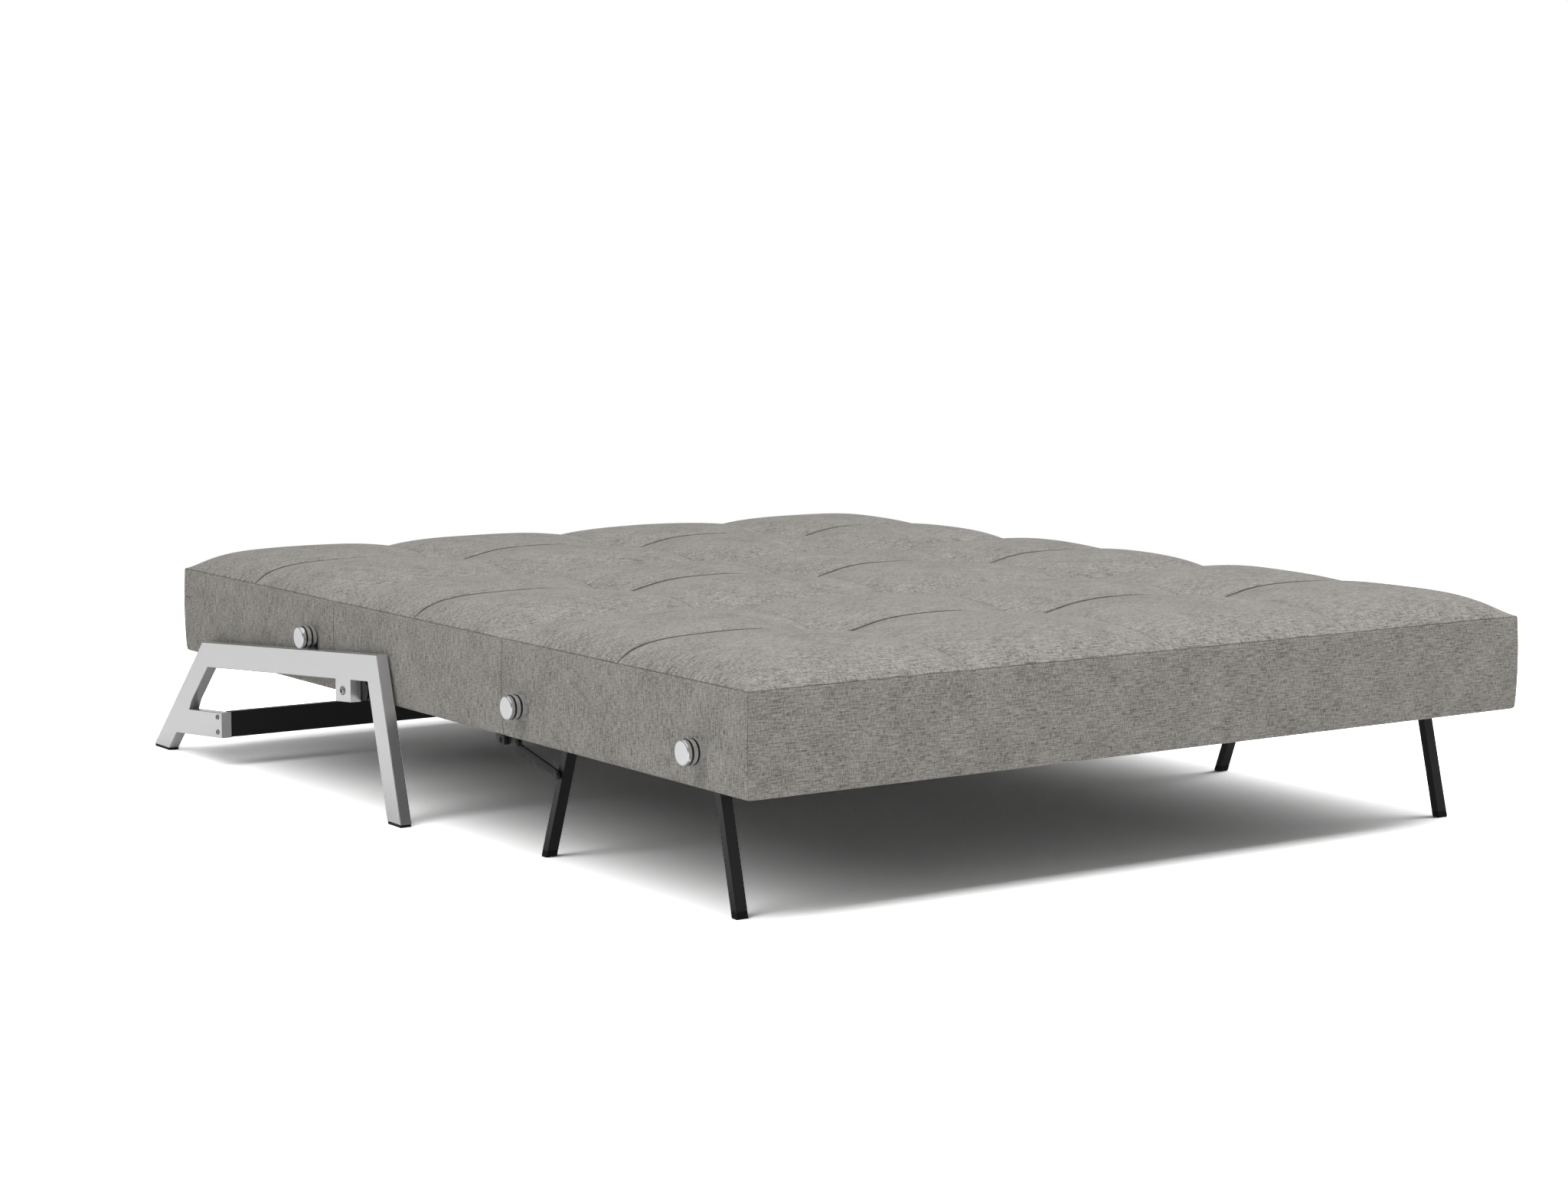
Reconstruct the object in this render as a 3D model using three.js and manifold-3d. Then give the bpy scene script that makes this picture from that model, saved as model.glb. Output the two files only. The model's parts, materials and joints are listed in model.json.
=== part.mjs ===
// Sleeper sofa with a pull-out bed, shown pulled out flat.
// Three tufted sections lie in a row: the seat on its own folding legs, the hinged middle and the back.
// A pair of chrome side frames carries the middle at two low pivots and the back on a glide in each rail.
// Millimetres. +Z is up, +X to the viewer's right, and the pulled-out end faces -Y.
import * as THREE from "three";
import { mergeVertices } from "three/addons/utils/BufferGeometryUtils.js";
import Module from "manifold-3d";

const wasm = await Module();
wasm.setup();

// Driving dimensions. Lengths along the bed run from the front end of the seat section.
const bedHalfWidth = 798;
const sectionBottom = 208.4;
const sideSeamHeight = 364;
const crownHeight = 41;
const sideBulge = 1.8;
const seatLength = 722;
const middleLength = 605;
const backLength = 642;
const foldJoint = 7;
const backJoint = 20;

// A section's two ends, from where it starts and how long it is.
const span = (start, length) => ({ start, end: start + length });
const seatSection = span(2, seatLength);
const middleSection = span(seatSection.end + foldJoint, middleLength);
const backSection = span(middleSection.end + backJoint, backLength);

const runningGap = 0.4;
const seatedGap = 0.3;
const overrun = 4;

// Chrome side frame, seen from the side: one mitred rectangular tube.
const frameGap = 8;
const frameInnerFace = bedHalfWidth + frameGap;
const frameTubeWidth = 22;
const frameTubeDepth = 48;
const frameEdgeBreak = 1;
const railLength = 737;
const frontSplay = 84;
const rearRake = 246;
const railOverlap = 211;
const railFront = { y: middleSection.end - railOverlap, z: 293 };
const railRear = { y: railFront.y + railLength, z: 235 };
const frontToe = railFront.y - frontSplay;
const rearHeel = railRear.y + rearRake;
const armTipFromRailRear = 81;
const armTopHeight = 107;
const armDepth = 49;
const crotchDepth = 20;
const crotchOffset = 8;
const padHeight = 5;
const padInset = 1;

// Drop lug under each rail, with its bolt, and the pivot of the middle section just in front of it.
const lugSetback = 104;
const lugFront = railFront.y + lugSetback;
const lugWidth = 58;
const lugDrop = 40;
const flipPivotLead = 7;
const flipPivot = { y: lugFront - flipPivotLead, z: 217 };
const flipPinRadius = 8;
const pivotPlateRadius = 18;
const sheetThickness = 2.5;

// Rear cross bar between the lower arms.
const crossBarDepth = 25;
const crossBarWall = 2.5;
const screwHeadRadius = 5;
const screwHeadHeight = 2.2;
const screwSpacing = 29;
const screwSetback = 16;
const boltHeadRadius = 8;
const boltHeadHeight = 2.5;

// Chrome rest knobs with two rubber rings each.
const knobRadius = 20.5;
const knobLength = 34;
const knobHeight = 260;
const frontKnobSetback = 123;
const rearKnobSetback = 67;
const backKnobSetback = 68;
const seatKnobs = [
  ["front", seatSection.start + frontKnobSetback],
  ["rear", seatSection.end - rearKnobSetback],
];
const backKnobPlace = backSection.start + backKnobSetback;
const knobNeckRadius = 9;
const knobEdgeRadius = 4;
const ringWidth = 3.8;
const ringRise = 1.3;
const ringPlaces = [11, 20];
const knobSides = 24;

// Glide that carries the back section: two blocks run in a slot in the rail's inner wall.
const glideBlockLength = 34;
const glideBlockHeight = 24;
const glideBlockDepth = 11;
const glideBlockPlaces = [60, 170];
const glideTravel = 474;
const glideBarHeight = 30;
const glideEyeRadius = 14;
const slotDepth = 12.5;

// Boards under the upholstery, and the folded steel brackets screwed to them.
const boardThickness = 5;
const boardInset = 25;
const flangeThickness = 2.3;
const flangeReach = 60;

// Hinge between the seat and the middle.
const foldPivotSetback = 22;
const foldPivot = { y: seatSection.end - foldPivotSetback, z: 193 };
const foldPinRadius = 5;
const leafEarRadius = 11;
const seatEarRadius = 10;
const seatLeafInset = 11;
const middleLeafInset = 4;
const seatLeafFace = bedHalfWidth - seatLeafInset;
const middleLeafFace = bedHalfWidth - middleLeafInset;
const leafThickness = 3;
const seatLeafLength = 14;
const seatFlangeLength = 62;
const middleLeafLength = 37;
const middleLeafEnd = middleSection.start + middleLeafLength;
const stayBossSetback = 2;
const stayBoss = { y: middleSection.start + stayBossSetback, z: 192.5 };

// Folding leg pairs under the seat: flat tube legs on a round cross tube.
const legInset = 60;
const legOffset = bedHalfWidth - legInset;
const legWidth = 20;
const legDepth = 15;
const legTipHeight = 11;
const legTopDrop = 10;
const frontLegSetback = 158;
const frontLegReach = -48;
const rearLegSetback = 112;
const rearLegReach = 74;
const frontLegTop = seatSection.start + frontLegSetback;
const rearLegTop = seatSection.end - rearLegSetback;
const frontLeg = { top: frontLegTop, foot: frontLegTop + frontLegReach };
const rearLeg = { top: rearLegTop, foot: rearLegTop + rearLegReach, hasStay: true };
const crossTubeRadius = 6.5;
const spigotRadius = 4;
const legStudRadius = 4;
const saddleInset = 178;
const saddleOffset = legOffset - saddleInset;
const saddleWidth = 36;
const saddleWall = 2.5;
const saddleWing = 16;

// Stay that folds the rear leg pair as the middle section folds under the seat.
const stayThickness = 4;
const stayTopInset = 9.5;
const stayLowOutset = 11.5;
const stayTopFace = bedHalfWidth - stayTopInset;
const stayLowFace = legOffset + stayLowOutset;
const stayLowHeight = 145;
const stayLowOffset = 2;
const stayEyeRadius = 6.5;
const stayBossRadius = 5.5;

const chrome = new THREE.MeshStandardMaterial({ color: 0xd4d6d8, roughness: 0.12, metalness: 1 });
const blackSteel = new THREE.MeshStandardMaterial({ color: 0x1b1c1d, roughness: 0.45, metalness: 0.6 });
const rubber = new THREE.MeshStandardMaterial({ color: 0x101010, roughness: 0.8, metalness: 0 });
const board = new THREE.MeshStandardMaterial({ color: 0x2c2b2a, roughness: 0.9, metalness: 0 });
const fabric = new THREE.MeshStandardMaterial({ color: 0x97938e, roughness: 0.95, metalness: 0 });

const sofa = new THREE.Group();

// Adds one named mesh to the sofa.
function add(name, geometry, material, x = 0, y = 0, z = 0) {
  const mesh = new THREE.Mesh(geometry, material);
  mesh.name = name;
  mesh.position.set(x, y, z);
  sofa.add(mesh);
  return mesh;
}

const sides = [["left", -1], ["right", 1]];

// Booleans on closed meshes.
function toSolid(geometry) {
  const bare = geometry.clone();
  bare.deleteAttribute("normal");
  bare.deleteAttribute("uv");
  const merged = mergeVertices(bare);
  const vertProperties = new Float32Array(merged.attributes.position.array);
  const triVerts = new Uint32Array(merged.index.array);
  return new wasm.Manifold(new wasm.Mesh({ numProp: 3, vertProperties, triVerts }));
}

function toGeometry(solid) {
  const mesh = solid.getMesh();
  const geometry = new THREE.BufferGeometry();
  geometry.setAttribute("position", new THREE.BufferAttribute(new Float32Array(mesh.vertProperties), 3));
  geometry.setIndex(new THREE.BufferAttribute(new Uint32Array(mesh.triVerts), 1));
  return geometry;
}

function cut(geometry, tool) {
  return toGeometry(toSolid(geometry).subtract(toSolid(tool)));
}

function join(...geometries) {
  return toGeometry(geometries.map(toSolid).reduce((sum, next) => sum.add(next)));
}

// Turns a profile drawn in length and height into a plate whose thickness runs along X.
const sideView = new THREE.Matrix4().makeBasis(
  new THREE.Vector3(0, 1, 0), new THREE.Vector3(0, 0, 1), new THREE.Vector3(1, 0, 0));

function sidePlate(shape, thickness, arcSteps = 8) {
  const options = { depth: thickness, bevelEnabled: false, curveSegments: arcSteps };
  return new THREE.ExtrudeGeometry(shape, options).applyMatrix4(sideView);
}

// Where a plate starts along X, so that it spans inner face to inner face plus thickness on either side.
function plateStart(side, innerFace, thickness) {
  return side > 0 ? innerFace : -innerFace - thickness;
}

function polygon(points) {
  return new THREE.Shape(points.map((p) => new THREE.Vector2(p.y, p.z)));
}

function hole(shape, centre, radius) {
  const path = new THREE.Path();
  path.absarc(centre.y, centre.z, radius, 0, 2 * Math.PI, true);
  shape.holes.push(path);
}

// Outline of a straight bar with round ends about two centres.
function roundBar(a, b, radius) {
  const turn = Math.atan2(b.z - a.z, b.y - a.y);
  const shape = new THREE.Shape();
  shape.absarc(a.y, a.z, radius, turn + Math.PI / 2, turn + 3 * Math.PI / 2, false);
  shape.absarc(b.y, b.z, radius, turn - Math.PI / 2, turn + Math.PI / 2, false);
  shape.closePath();
  return shape;
}

function pin(radius, length, segments = 16) {
  const geometry = new THREE.CylinderGeometry(radius, radius, length, segments);
  return geometry.rotateZ(Math.PI / 2);
}

function block(sizeX, sizeY, sizeZ, x, y, z) {
  return new THREE.BoxGeometry(sizeX, sizeY, sizeZ).translate(x, y, z);
}

// A straight edge and where two of them meet.
function edge(from, to) {
  const length = Math.hypot(to.y - from.y, to.z - from.z);
  return { y: from.y, z: from.z, dy: (to.y - from.y) / length, dz: (to.z - from.z) / length };
}

function shifted(line, distance) {
  return { ...line, y: line.y + line.dz * distance, z: line.z - line.dy * distance };
}

function meet(a, b) {
  const across = a.dy * b.dz - a.dz * b.dy;
  const t = ((b.y - a.y) * b.dz - (b.z - a.z) * b.dy) / across;
  return { y: a.y + a.dy * t, z: a.z + a.dz * t };
}

const level = (z) => ({ y: 0, z, dy: 1, dz: 0 });
const upright = (y) => ({ y, z: 0, dy: 0, dz: 1 });

const railTop = edge(railFront, railRear);
const railBottom = shifted(railTop, frameTubeDepth);
const railSlope = Math.atan2(-railTop.dz, railTop.dy);
const frontOuter = edge({ y: frontToe, z: 0 }, railFront);
const frontInner = shifted(frontOuter, frameTubeDepth);
const rearOuter = edge(railRear, { y: rearHeel, z: 0 });
const rearInner = shifted(rearOuter, frameTubeDepth);
const armTip = railRear.y - armTipFromRailRear;
const armTop = { ...railTop, y: armTip, z: armTopHeight };
const armBottom = shifted(armTop, armDepth);
const padTop = level(padHeight);

// The back knob rests on the rail with its rubber rings.
const knobRest = shifted(railTop, -(knobRadius + ringRise + runningGap));
const backKnob = meet(knobRest, upright(backKnobPlace));

// Outline of the side frame: rail, raked rear leg, lower arm, drop lug and splayed front leg.
function frameOutline() {
  const lugBottom = shifted(railTop, frameTubeDepth + lugDrop);
  const lugRear = lugFront + lugWidth;
  const crotch = meet(armTop, rearInner);
  const armEnd = upright(armTip);
  return polygon([
    railFront, railRear, meet(rearOuter, padTop), meet(rearInner, padTop),
    meet(rearInner, armBottom), meet(armBottom, armEnd), meet(armTop, armEnd),
    meet(armTop, upright(crotch.y - crotchOffset)), meet(rearInner, level(crotch.z + crotchDepth)),
    meet(rearInner, railBottom), meet(railBottom, upright(lugRear)), meet(lugBottom, upright(lugRear)),
    meet(lugBottom, upright(lugFront)), meet(railBottom, upright(lugFront)),
    meet(frontInner, railBottom), meet(frontInner, padTop), meet(frontOuter, padTop),
  ].reverse());
}

// A point on the rail's middle line, at a distance along the rail from the back knob's rest place.
function onRail(along) {
  const middle = shifted(railTop, frameTubeDepth / 2);
  const foot = meet(middle, upright(backKnob.y));
  return { y: foot.y + railTop.dy * along, z: foot.z + railTop.dz * along };
}

function slottedFrame(side) {
  const bevel = { bevelEnabled: true, bevelThickness: frameEdgeBreak, bevelSize: frameEdgeBreak,
    bevelOffset: -frameEdgeBreak, bevelSegments: 1 };
  const depth = frameTubeWidth - 2 * frameEdgeBreak;
  const tube = new THREE.ExtrudeGeometry(frameOutline(), { depth, ...bevel }).applyMatrix4(sideView);
  tube.translate(frameEdgeBreak, 0, 0);
  const halfBlock = glideBlockLength / 2 + runningGap;
  const from = onRail(-glideBlockPlaces[1] - halfBlock);
  const to = onRail(glideTravel - glideBlockPlaces[0] + halfBlock);
  const length = Math.hypot(to.y - from.y, to.z - from.z);
  const slot = new THREE.BoxGeometry(slotDepth + overrun, length, glideBlockHeight + 2 * runningGap);
  slot.rotateX(-railSlope).translate(0, (from.y + to.y) / 2, (from.z + to.z) / 2);
  const inner = side > 0 ? (slotDepth - overrun) / 2 : frameTubeWidth - (slotDepth - overrun) / 2;
  return cut(tube, slot.translate(inner, 0, 0));
}

// Button head on the outer face of a frame, with a hexagon socket.
function buttonHead(radius, height) {
  const flank = height / 3;
  const socket = radius / 2;
  const floor = height / 4;
  const profile = [[0, 0], [radius, 0], [radius, flank], [radius - flank, height], [socket, height],
    [socket, floor], [0, floor]].map(([r, h]) => new THREE.Vector2(r, h));
  return new THREE.LatheGeometry(profile, 12);
}

function addHead(name, side, radius, height, place) {
  const head = buttonHead(radius, height).rotateZ(side > 0 ? -Math.PI / 2 : Math.PI / 2);
  const face = frameInnerFace + frameTubeWidth + seatedGap;
  add(name, head, chrome, side * face, place.y, place.z);
}

function sideFrames() {
  for (const [name, side] of sides) {
    const start = plateStart(side, frameInnerFace, frameTubeWidth);
    add(`side_frame_${name}`, slottedFrame(side), chrome, start);
    for (const [end, front, rear] of [["front", frontOuter, frontInner], ["rear", rearInner, rearOuter]]) {
      const toe = meet(front, padTop).y + padInset;
      const heel = meet(rear, padTop).y - padInset;
      const pad = new THREE.BoxGeometry(frameTubeWidth - 2 * padInset, heel - toe, padHeight);
      pad.translate(start + frameTubeWidth / 2, (toe + heel) / 2, padHeight / 2);
      add(`frame_pad_${end}_${name}`, pad, rubber);
    }
  }
}

// Rectangular tube between the lower arms, and the screws that hold it.
function crossBar() {
  const half = { y: crossBarDepth / 2, z: armDepth / 2 };
  const ring = polygon([{ y: -half.y, z: -half.z }, { y: half.y, z: -half.z }, { y: half.y, z: half.z },
    { y: -half.y, z: half.z }]);
  const bore = [[-1, -1], [-1, 1], [1, 1], [1, -1]].map(([a, b]) =>
    new THREE.Vector2(a * (half.y - crossBarWall), b * (half.z - crossBarWall)));
  ring.holes.push(new THREE.Path(bore));
  const halfLength = frameInnerFace - seatedGap;
  const tube = sidePlate(ring, 2 * halfLength).rotateX(-railSlope);
  const centre = { y: armTip + half.y, z: armTopHeight - half.z };
  add("rear_cross_bar", tube, blackSteel, -halfLength, centre.y, centre.z);
  for (const [name, side] of sides) {
    for (const [row, step] of [["lower", -1], ["upper", 1]]) {
      const place = { y: armTip + screwSetback, z: centre.z + step * screwSpacing / 2 };
      addHead(`cross_bar_screw_${row}_${name}`, side, screwHeadRadius, screwHeadHeight, place);
    }
  }
}

const lugTop = meet(railBottom, upright(lugFront + lugWidth / 2));
const lugMiddle = { y: lugTop.y, z: lugTop.z - lugDrop / 2 };

// Fixed plates bolted behind the lugs, with the pins that the middle section turns on.
function flipPivots() {
  const fixedFace = frameInnerFace - seatedGap - sheetThickness;
  const movingFace = fixedFace - runningGap - sheetThickness;
  for (const [name, side] of sides) {
    const outline = roundBar(flipPivot, lugMiddle, pivotPlateRadius);
    const start = plateStart(side, fixedFace, sheetThickness);
    const plate = sidePlate(outline, sheetThickness).translate(start, 0, 0);
    const flipPin = stud(side, flipPinRadius, movingFace, fixedFace + sheetThickness, flipPivot);
    add(`pivot_plate_${name}`, join(plate, flipPin), blackSteel);
    addHead(`lug_bolt_${name}`, side, boltHeadRadius, boltHeadHeight, lugMiddle);
  }
  swingPlates(movingFace);
}

const boardUnder = sectionBottom - seatedGap - boardThickness;
const flangeTop = boardUnder - seatedGap;

// Folded bracket: a flat web standing beside the upholstery and a flange that turns in under the board.
// The flange ends inside the web's thickness, clear of what folds past its outer face.
function bracket(web, thickness, face, side, flangeFrom, flangeTo) {
  const across = side * (face + thickness / 3 - flangeReach / 2);
  const flange = block(flangeReach, flangeTo - flangeFrom, flangeThickness,
    across, (flangeFrom + flangeTo) / 2, flangeTop - flangeThickness / 2);
  const upstand = sidePlate(web, thickness).translate(plateStart(side, face, thickness), 0, 0);
  return join(upstand, flange);
}

// A pin along X between two distances from the middle plane.
function stud(side, radius, from, to, centre) {
  return pin(radius, to - from).translate(side * (from + to) / 2, centre.y, centre.z);
}

function swingPlates(face) {
  const eye = pivotPlateRadius;
  const rearEdge = flipPivot.y + lugWidth;
  for (const [name, side] of sides) {
    const web = new THREE.Shape();
    web.absarc(flipPivot.y, flipPivot.z, eye, Math.PI / 2, Math.PI, false);
    web.lineTo(flipPivot.y - eye, flangeTop - flangeThickness);
    web.lineTo(rearEdge, flangeTop - flangeThickness);
    web.lineTo(rearEdge, flipPivot.z + eye);
    web.closePath();
    hole(web, flipPivot, flipPinRadius + runningGap);
    const plate = bracket(web, sheetThickness, face, side, flipPivot.y + eye, rearEdge);
    add(`swing_plate_${name}`, plate, blackSteel);
  }
}

const knobSeat = bedHalfWidth + sideBulge + seatedGap;

// Knob profile from its base outwards along its axis, with its two seated rubber rings as ribs.
function knobProfile(base) {
  const neck = frameInnerFace + runningGap - knobSeat;
  const points = [[0, 0], [base, 0], [base, neck], [knobRadius, neck]];
  for (const place of ringPlaces) {
    points.push([knobRadius, place - ringWidth / 2], [knobRadius + ringRise, place - ringWidth / 4]);
    points.push([knobRadius + ringRise, place + ringWidth / 4], [knobRadius, place + ringWidth / 2]);
  }
  for (let step = 0; step <= 2; step += 1) {
    const turn = step * Math.PI / 4;
    points.push([knobRadius - knobEdgeRadius * (1 - Math.cos(turn)),
      knobLength - knobEdgeRadius * (1 - Math.sin(turn))]);
  }
  points.push([0, knobLength]);
  const same = (a, b) => a[0] === b[0] && a[1] === b[1];
  return points.filter((p, i) => i === 0 || !same(p, points[i - 1])).map(([r, h]) => new THREE.Vector2(r, h));
}

function knob(base, side) {
  const body = new THREE.LatheGeometry(knobProfile(base), knobSides);
  return body.rotateZ(side > 0 ? -Math.PI / 2 : Math.PI / 2);
}

function seatKnobSet() {
  for (const [name, side] of sides) {
    for (const [end, y] of seatKnobs) {
      add(`seat_knob_${end}_${name}`, knob(knobRadius, side), chrome, side * knobSeat, y, knobHeight);
    }
  }
}

// Back carriage: a glide plate behind each rail with two blocks in the slot and an eye for the back knob.
function backCarriage() {
  const face = frameInnerFace - runningGap - sheetThickness;
  const shoeWidth = glideBlockDepth + sheetThickness;
  for (const [name, side] of sides) {
    const low = onRail(-glideBlockPlaces[1]);
    const high = onRail(0);
    const bar = sidePlate(roundBar(low, high, glideBarHeight / 2), sheetThickness);
    const neck = sidePlate(roundBar(high, backKnob, glideEyeRadius), sheetThickness);
    const eye = pin(knobNeckRadius + runningGap, frameTubeWidth).translate(0, backKnob.y, backKnob.z);
    const start = plateStart(side, face, sheetThickness);
    const shoes = glideBlockPlaces.map((place) => {
      const at = onRail(-place);
      const shoe = new THREE.BoxGeometry(shoeWidth, glideBlockLength, glideBlockHeight).rotateX(-railSlope);
      return shoe.translate(side * (face + shoeWidth / 2) - start, at.y, at.z);
    });
    add(`back_glide_${name}`, join(cut(join(bar, neck), eye), ...shoes), blackSteel, start);
  }
}

// The back section's own hardware: hinge leaf in from the glide, and the knob on the tilt axis.
function backFittings() {
  const glideFace = frameInnerFace - runningGap - sheetThickness;
  const face = glideFace - runningGap - sheetThickness / 2;
  for (const [name, side] of sides) {
    const web = new THREE.Shape();
    web.absarc(backKnob.y, backKnob.z, glideEyeRadius, 0, Math.PI, false);
    web.lineTo(backKnob.y - glideEyeRadius, flangeTop - flangeThickness);
    web.lineTo(backKnob.y + flangeReach, flangeTop - flangeThickness);
    web.lineTo(backKnob.y + flangeReach, flangeTop + glideBarHeight);
    web.closePath();
    hole(web, backKnob, knobNeckRadius + seatedGap);
    const thickness = sheetThickness / 2;
    add(`back_leaf_${name}`, bracket(web, thickness, face, side, backKnob.y - glideEyeRadius,
      backKnob.y + flangeReach), blackSteel);
    add(`back_knob_${name}`, knob(knobNeckRadius, side), chrome, side * knobSeat, backKnob.y, backKnob.z);
  }
}

// Seat to middle hinge: a leaf on each section. The seat leaf holds the hinge pin and the middle leaf
// the boss that each stay's upper eye stands beside.
function foldHinges() {
  for (const [name, side] of sides) {
    const seatWeb = new THREE.Shape();
    seatWeb.moveTo(foldPivot.y - seatLeafLength, flangeTop);
    seatWeb.lineTo(foldPivot.y - seatLeafLength, flangeTop - flangeThickness);
    seatWeb.absarc(foldPivot.y, foldPivot.z, seatEarRadius, 5 * Math.PI / 4, 2 * Math.PI, false);
    seatWeb.lineTo(foldPivot.y + seatEarRadius, flangeTop);
    seatWeb.closePath();
    const seatLeaf = bracket(seatWeb, leafThickness, seatLeafFace, side,
      foldPivot.y - seatFlangeLength, seatSection.end - boardInset);
    const reach = middleLeafFace + leafThickness;
    const foldPin = stud(side, foldPinRadius, seatLeafFace, reach, foldPivot);
    add(`seat_leaf_${name}`, join(seatLeaf, foldPin), blackSteel);
    const middleWeb = new THREE.Shape();
    const ear = middleLeafEnd - leafEarRadius;
    middleWeb.absarc(foldPivot.y, foldPivot.z, leafEarRadius, Math.PI / 2, 3 * Math.PI / 2, false);
    middleWeb.absarc(ear, foldPivot.z, leafEarRadius, 3 * Math.PI / 2, 2 * Math.PI, false);
    middleWeb.lineTo(middleLeafEnd, flangeTop);
    middleWeb.lineTo(middleSection.start, flangeTop);
    middleWeb.closePath();
    hole(middleWeb, foldPivot, foldPinRadius + runningGap);
    const middleLeaf = bracket(middleWeb, leafThickness, middleLeafFace, side,
      middleSection.start + boardInset, middleLeafEnd + boardInset);
    const bossFace = stayTopFace + stayThickness + seatedGap;
    const boss = stud(side, stayBossRadius, bossFace, reach, stayBoss);
    add(`middle_leaf_${name}`, join(middleLeaf, boss), blackSteel);
  }
}

const legTop = boardUnder - legTopDrop;

// Where a leg's middle line is at a height above the floor.
const legLine = (leg, height) => leg.top + (leg.foot - leg.top) * (legTop - height) / legTop;
const stayLow = { y: legLine(rearLeg, stayLowHeight) + stayLowOffset, z: stayLowHeight };

// One leg pair: two flat legs, rounded tips, and the round cross tube that they turn with.
function legPair(end, leg) {
  const lean = Math.atan2(leg.foot - leg.top, legTop);
  const tipTop = legTipHeight / Math.cos(lean);
  const along = (height) => legLine(leg, height);
  for (const [name, side] of sides) {
    const half = legDepth / 2 / Math.cos(lean);
    const upper = new THREE.Shape();
    upper.moveTo(along(tipTop) - half, tipTop);
    upper.lineTo(along(tipTop) + half, tipTop);
    upper.absarc(leg.top, legTop, legDepth / 2, lean, Math.PI + lean, false);
    upper.closePath();
    hole(upper, { y: leg.top, z: legTop }, spigotRadius + seatedGap);
    const start = plateStart(side, legOffset - legWidth / 2, legWidth);
    const bare = sidePlate(upper, legWidth).translate(start, 0, 0);
    const studEnd = stayLowFace + stayThickness;
    const held = leg.hasStay ? join(bare, stud(side, legStudRadius, legOffset, studEnd, stayLow)) : bare;
    add(`${end}_leg_${name}`, held, blackSteel);
    const edges = [[0, half - padInset], [tipTop / 4, half], [tipTop - seatedGap, half]];
    const place = ([z, reach], way) => ({ y: along(z) + way * reach, z });
    const tip = polygon([...edges.map((p) => place(p, 1)), ...edges.reverse().map((p) => place(p, -1))]);
    add(`${end}_leg_tip_${name}`, sidePlate(tip, legWidth), rubber, start);
  }
  const halfTube = legOffset - legWidth / 2 - seatedGap;
  const tube = pin(crossTubeRadius, 2 * halfTube);
  const spigots = pin(spigotRadius, 2 * (legOffset + legWidth / 2));
  add(`${end}_leg_cross_tube`, join(tube, spigots), blackSteel, 0, leg.top, legTop);
}

// Saddles that clip each cross tube under the seat board.
function legSaddles(end, leg) {
  const radius = crossTubeRadius + runningGap;
  for (const [name, side] of sides) {
    const arch = new THREE.Shape();
    const outer = radius + saddleWall;
    arch.moveTo(-outer - saddleWing, flangeTop - legTop);
    arch.lineTo(-outer - saddleWing, flangeTop - legTop - flangeThickness);
    arch.lineTo(-outer, flangeTop - legTop - flangeThickness);
    arch.absarc(0, 0, outer, Math.PI, 2 * Math.PI, false);
    arch.lineTo(outer, flangeTop - legTop - flangeThickness);
    arch.lineTo(outer + saddleWing, flangeTop - legTop - flangeThickness);
    arch.lineTo(outer + saddleWing, flangeTop - legTop);
    arch.closePath();
    hole(arch, { y: 0, z: 0 }, radius);
    add(`${end}_leg_saddle_${name}`, sidePlate(arch, saddleWidth), blackSteel,
      side * saddleOffset - saddleWidth / 2, leg.top, legTop);
  }
}

// Joggled stay from the boss on the middle leaf down to the stud on the rear leg. Its lower eye turns on the
// stud, and its upper eye stands beside the boss.
function stays() {
  for (const [name, side] of sides) {
    const bar = roundBar(stayLow, stayBoss, stayEyeRadius);
    hole(bar, stayLow, legStudRadius + runningGap);
    const link = sidePlate(bar, stayThickness);
    const places = link.attributes.position;
    for (let i = 0; i < places.count; i += 1) {
      const joggle = stayBoss.y - stayLow.y - 2 * stayEyeRadius;
      const along = (places.getY(i) - stayLow.y - stayEyeRadius) / joggle;
      const share = THREE.MathUtils.clamp(along, 0, 1);
      const inner = stayLowFace + (stayTopFace - stayLowFace) * share;
      const x = places.getX(i) + inner;
      places.setX(i, side > 0 ? x : -(2 * inner + stayThickness - x));
    }
    add(`stay_link_${name}`, link, blackSteel);
  }
}

// Tufted section: crowned top with four puffs across and two along, drawn-in sides and rounded corners.
const puffsAcross = 4;
const puffsAlong = 2;
const cellSteps = 6;
const sideRows = 4;
const cornerRadius = 22;
const bottomRound = 9;
const edgeRollAcross = 66;
const edgeRollAlong = 95;
const edgeRollPower = 1.3;
const seamDepth = 4;
const seamSpread = 25;
const tuftDepth = 21;
const tuftSpread = 60;

// Places of grid lines along one side, closer together beside every seam.
function gridLines(half, cells) {
  const lines = [];
  for (let cell = 0; cell < cells; cell += 1) {
    for (let step = 0; step < cellSteps; step += 1) {
      const within = (1 - Math.cos(Math.PI * step / cellSteps)) / 2;
      lines.push(half * (2 * (cell + within) / cells - 1));
    }
  }
  return [...lines, half];
}

function roundedCorner(x, y, halfX, halfY) {
  const dx = Math.abs(x) - (halfX - cornerRadius);
  const dy = Math.abs(y) - (halfY - cornerRadius);
  if (dx <= 0 || dy <= 0) return [x, y];
  const pull = Math.max(dx, dy) / Math.hypot(dx, dy);
  const bent = (sign, half, d) => sign * (half - cornerRadius + d * pull);
  return [bent(Math.sign(x), halfX, dx), bent(Math.sign(y), halfY, dy)];
}

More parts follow.
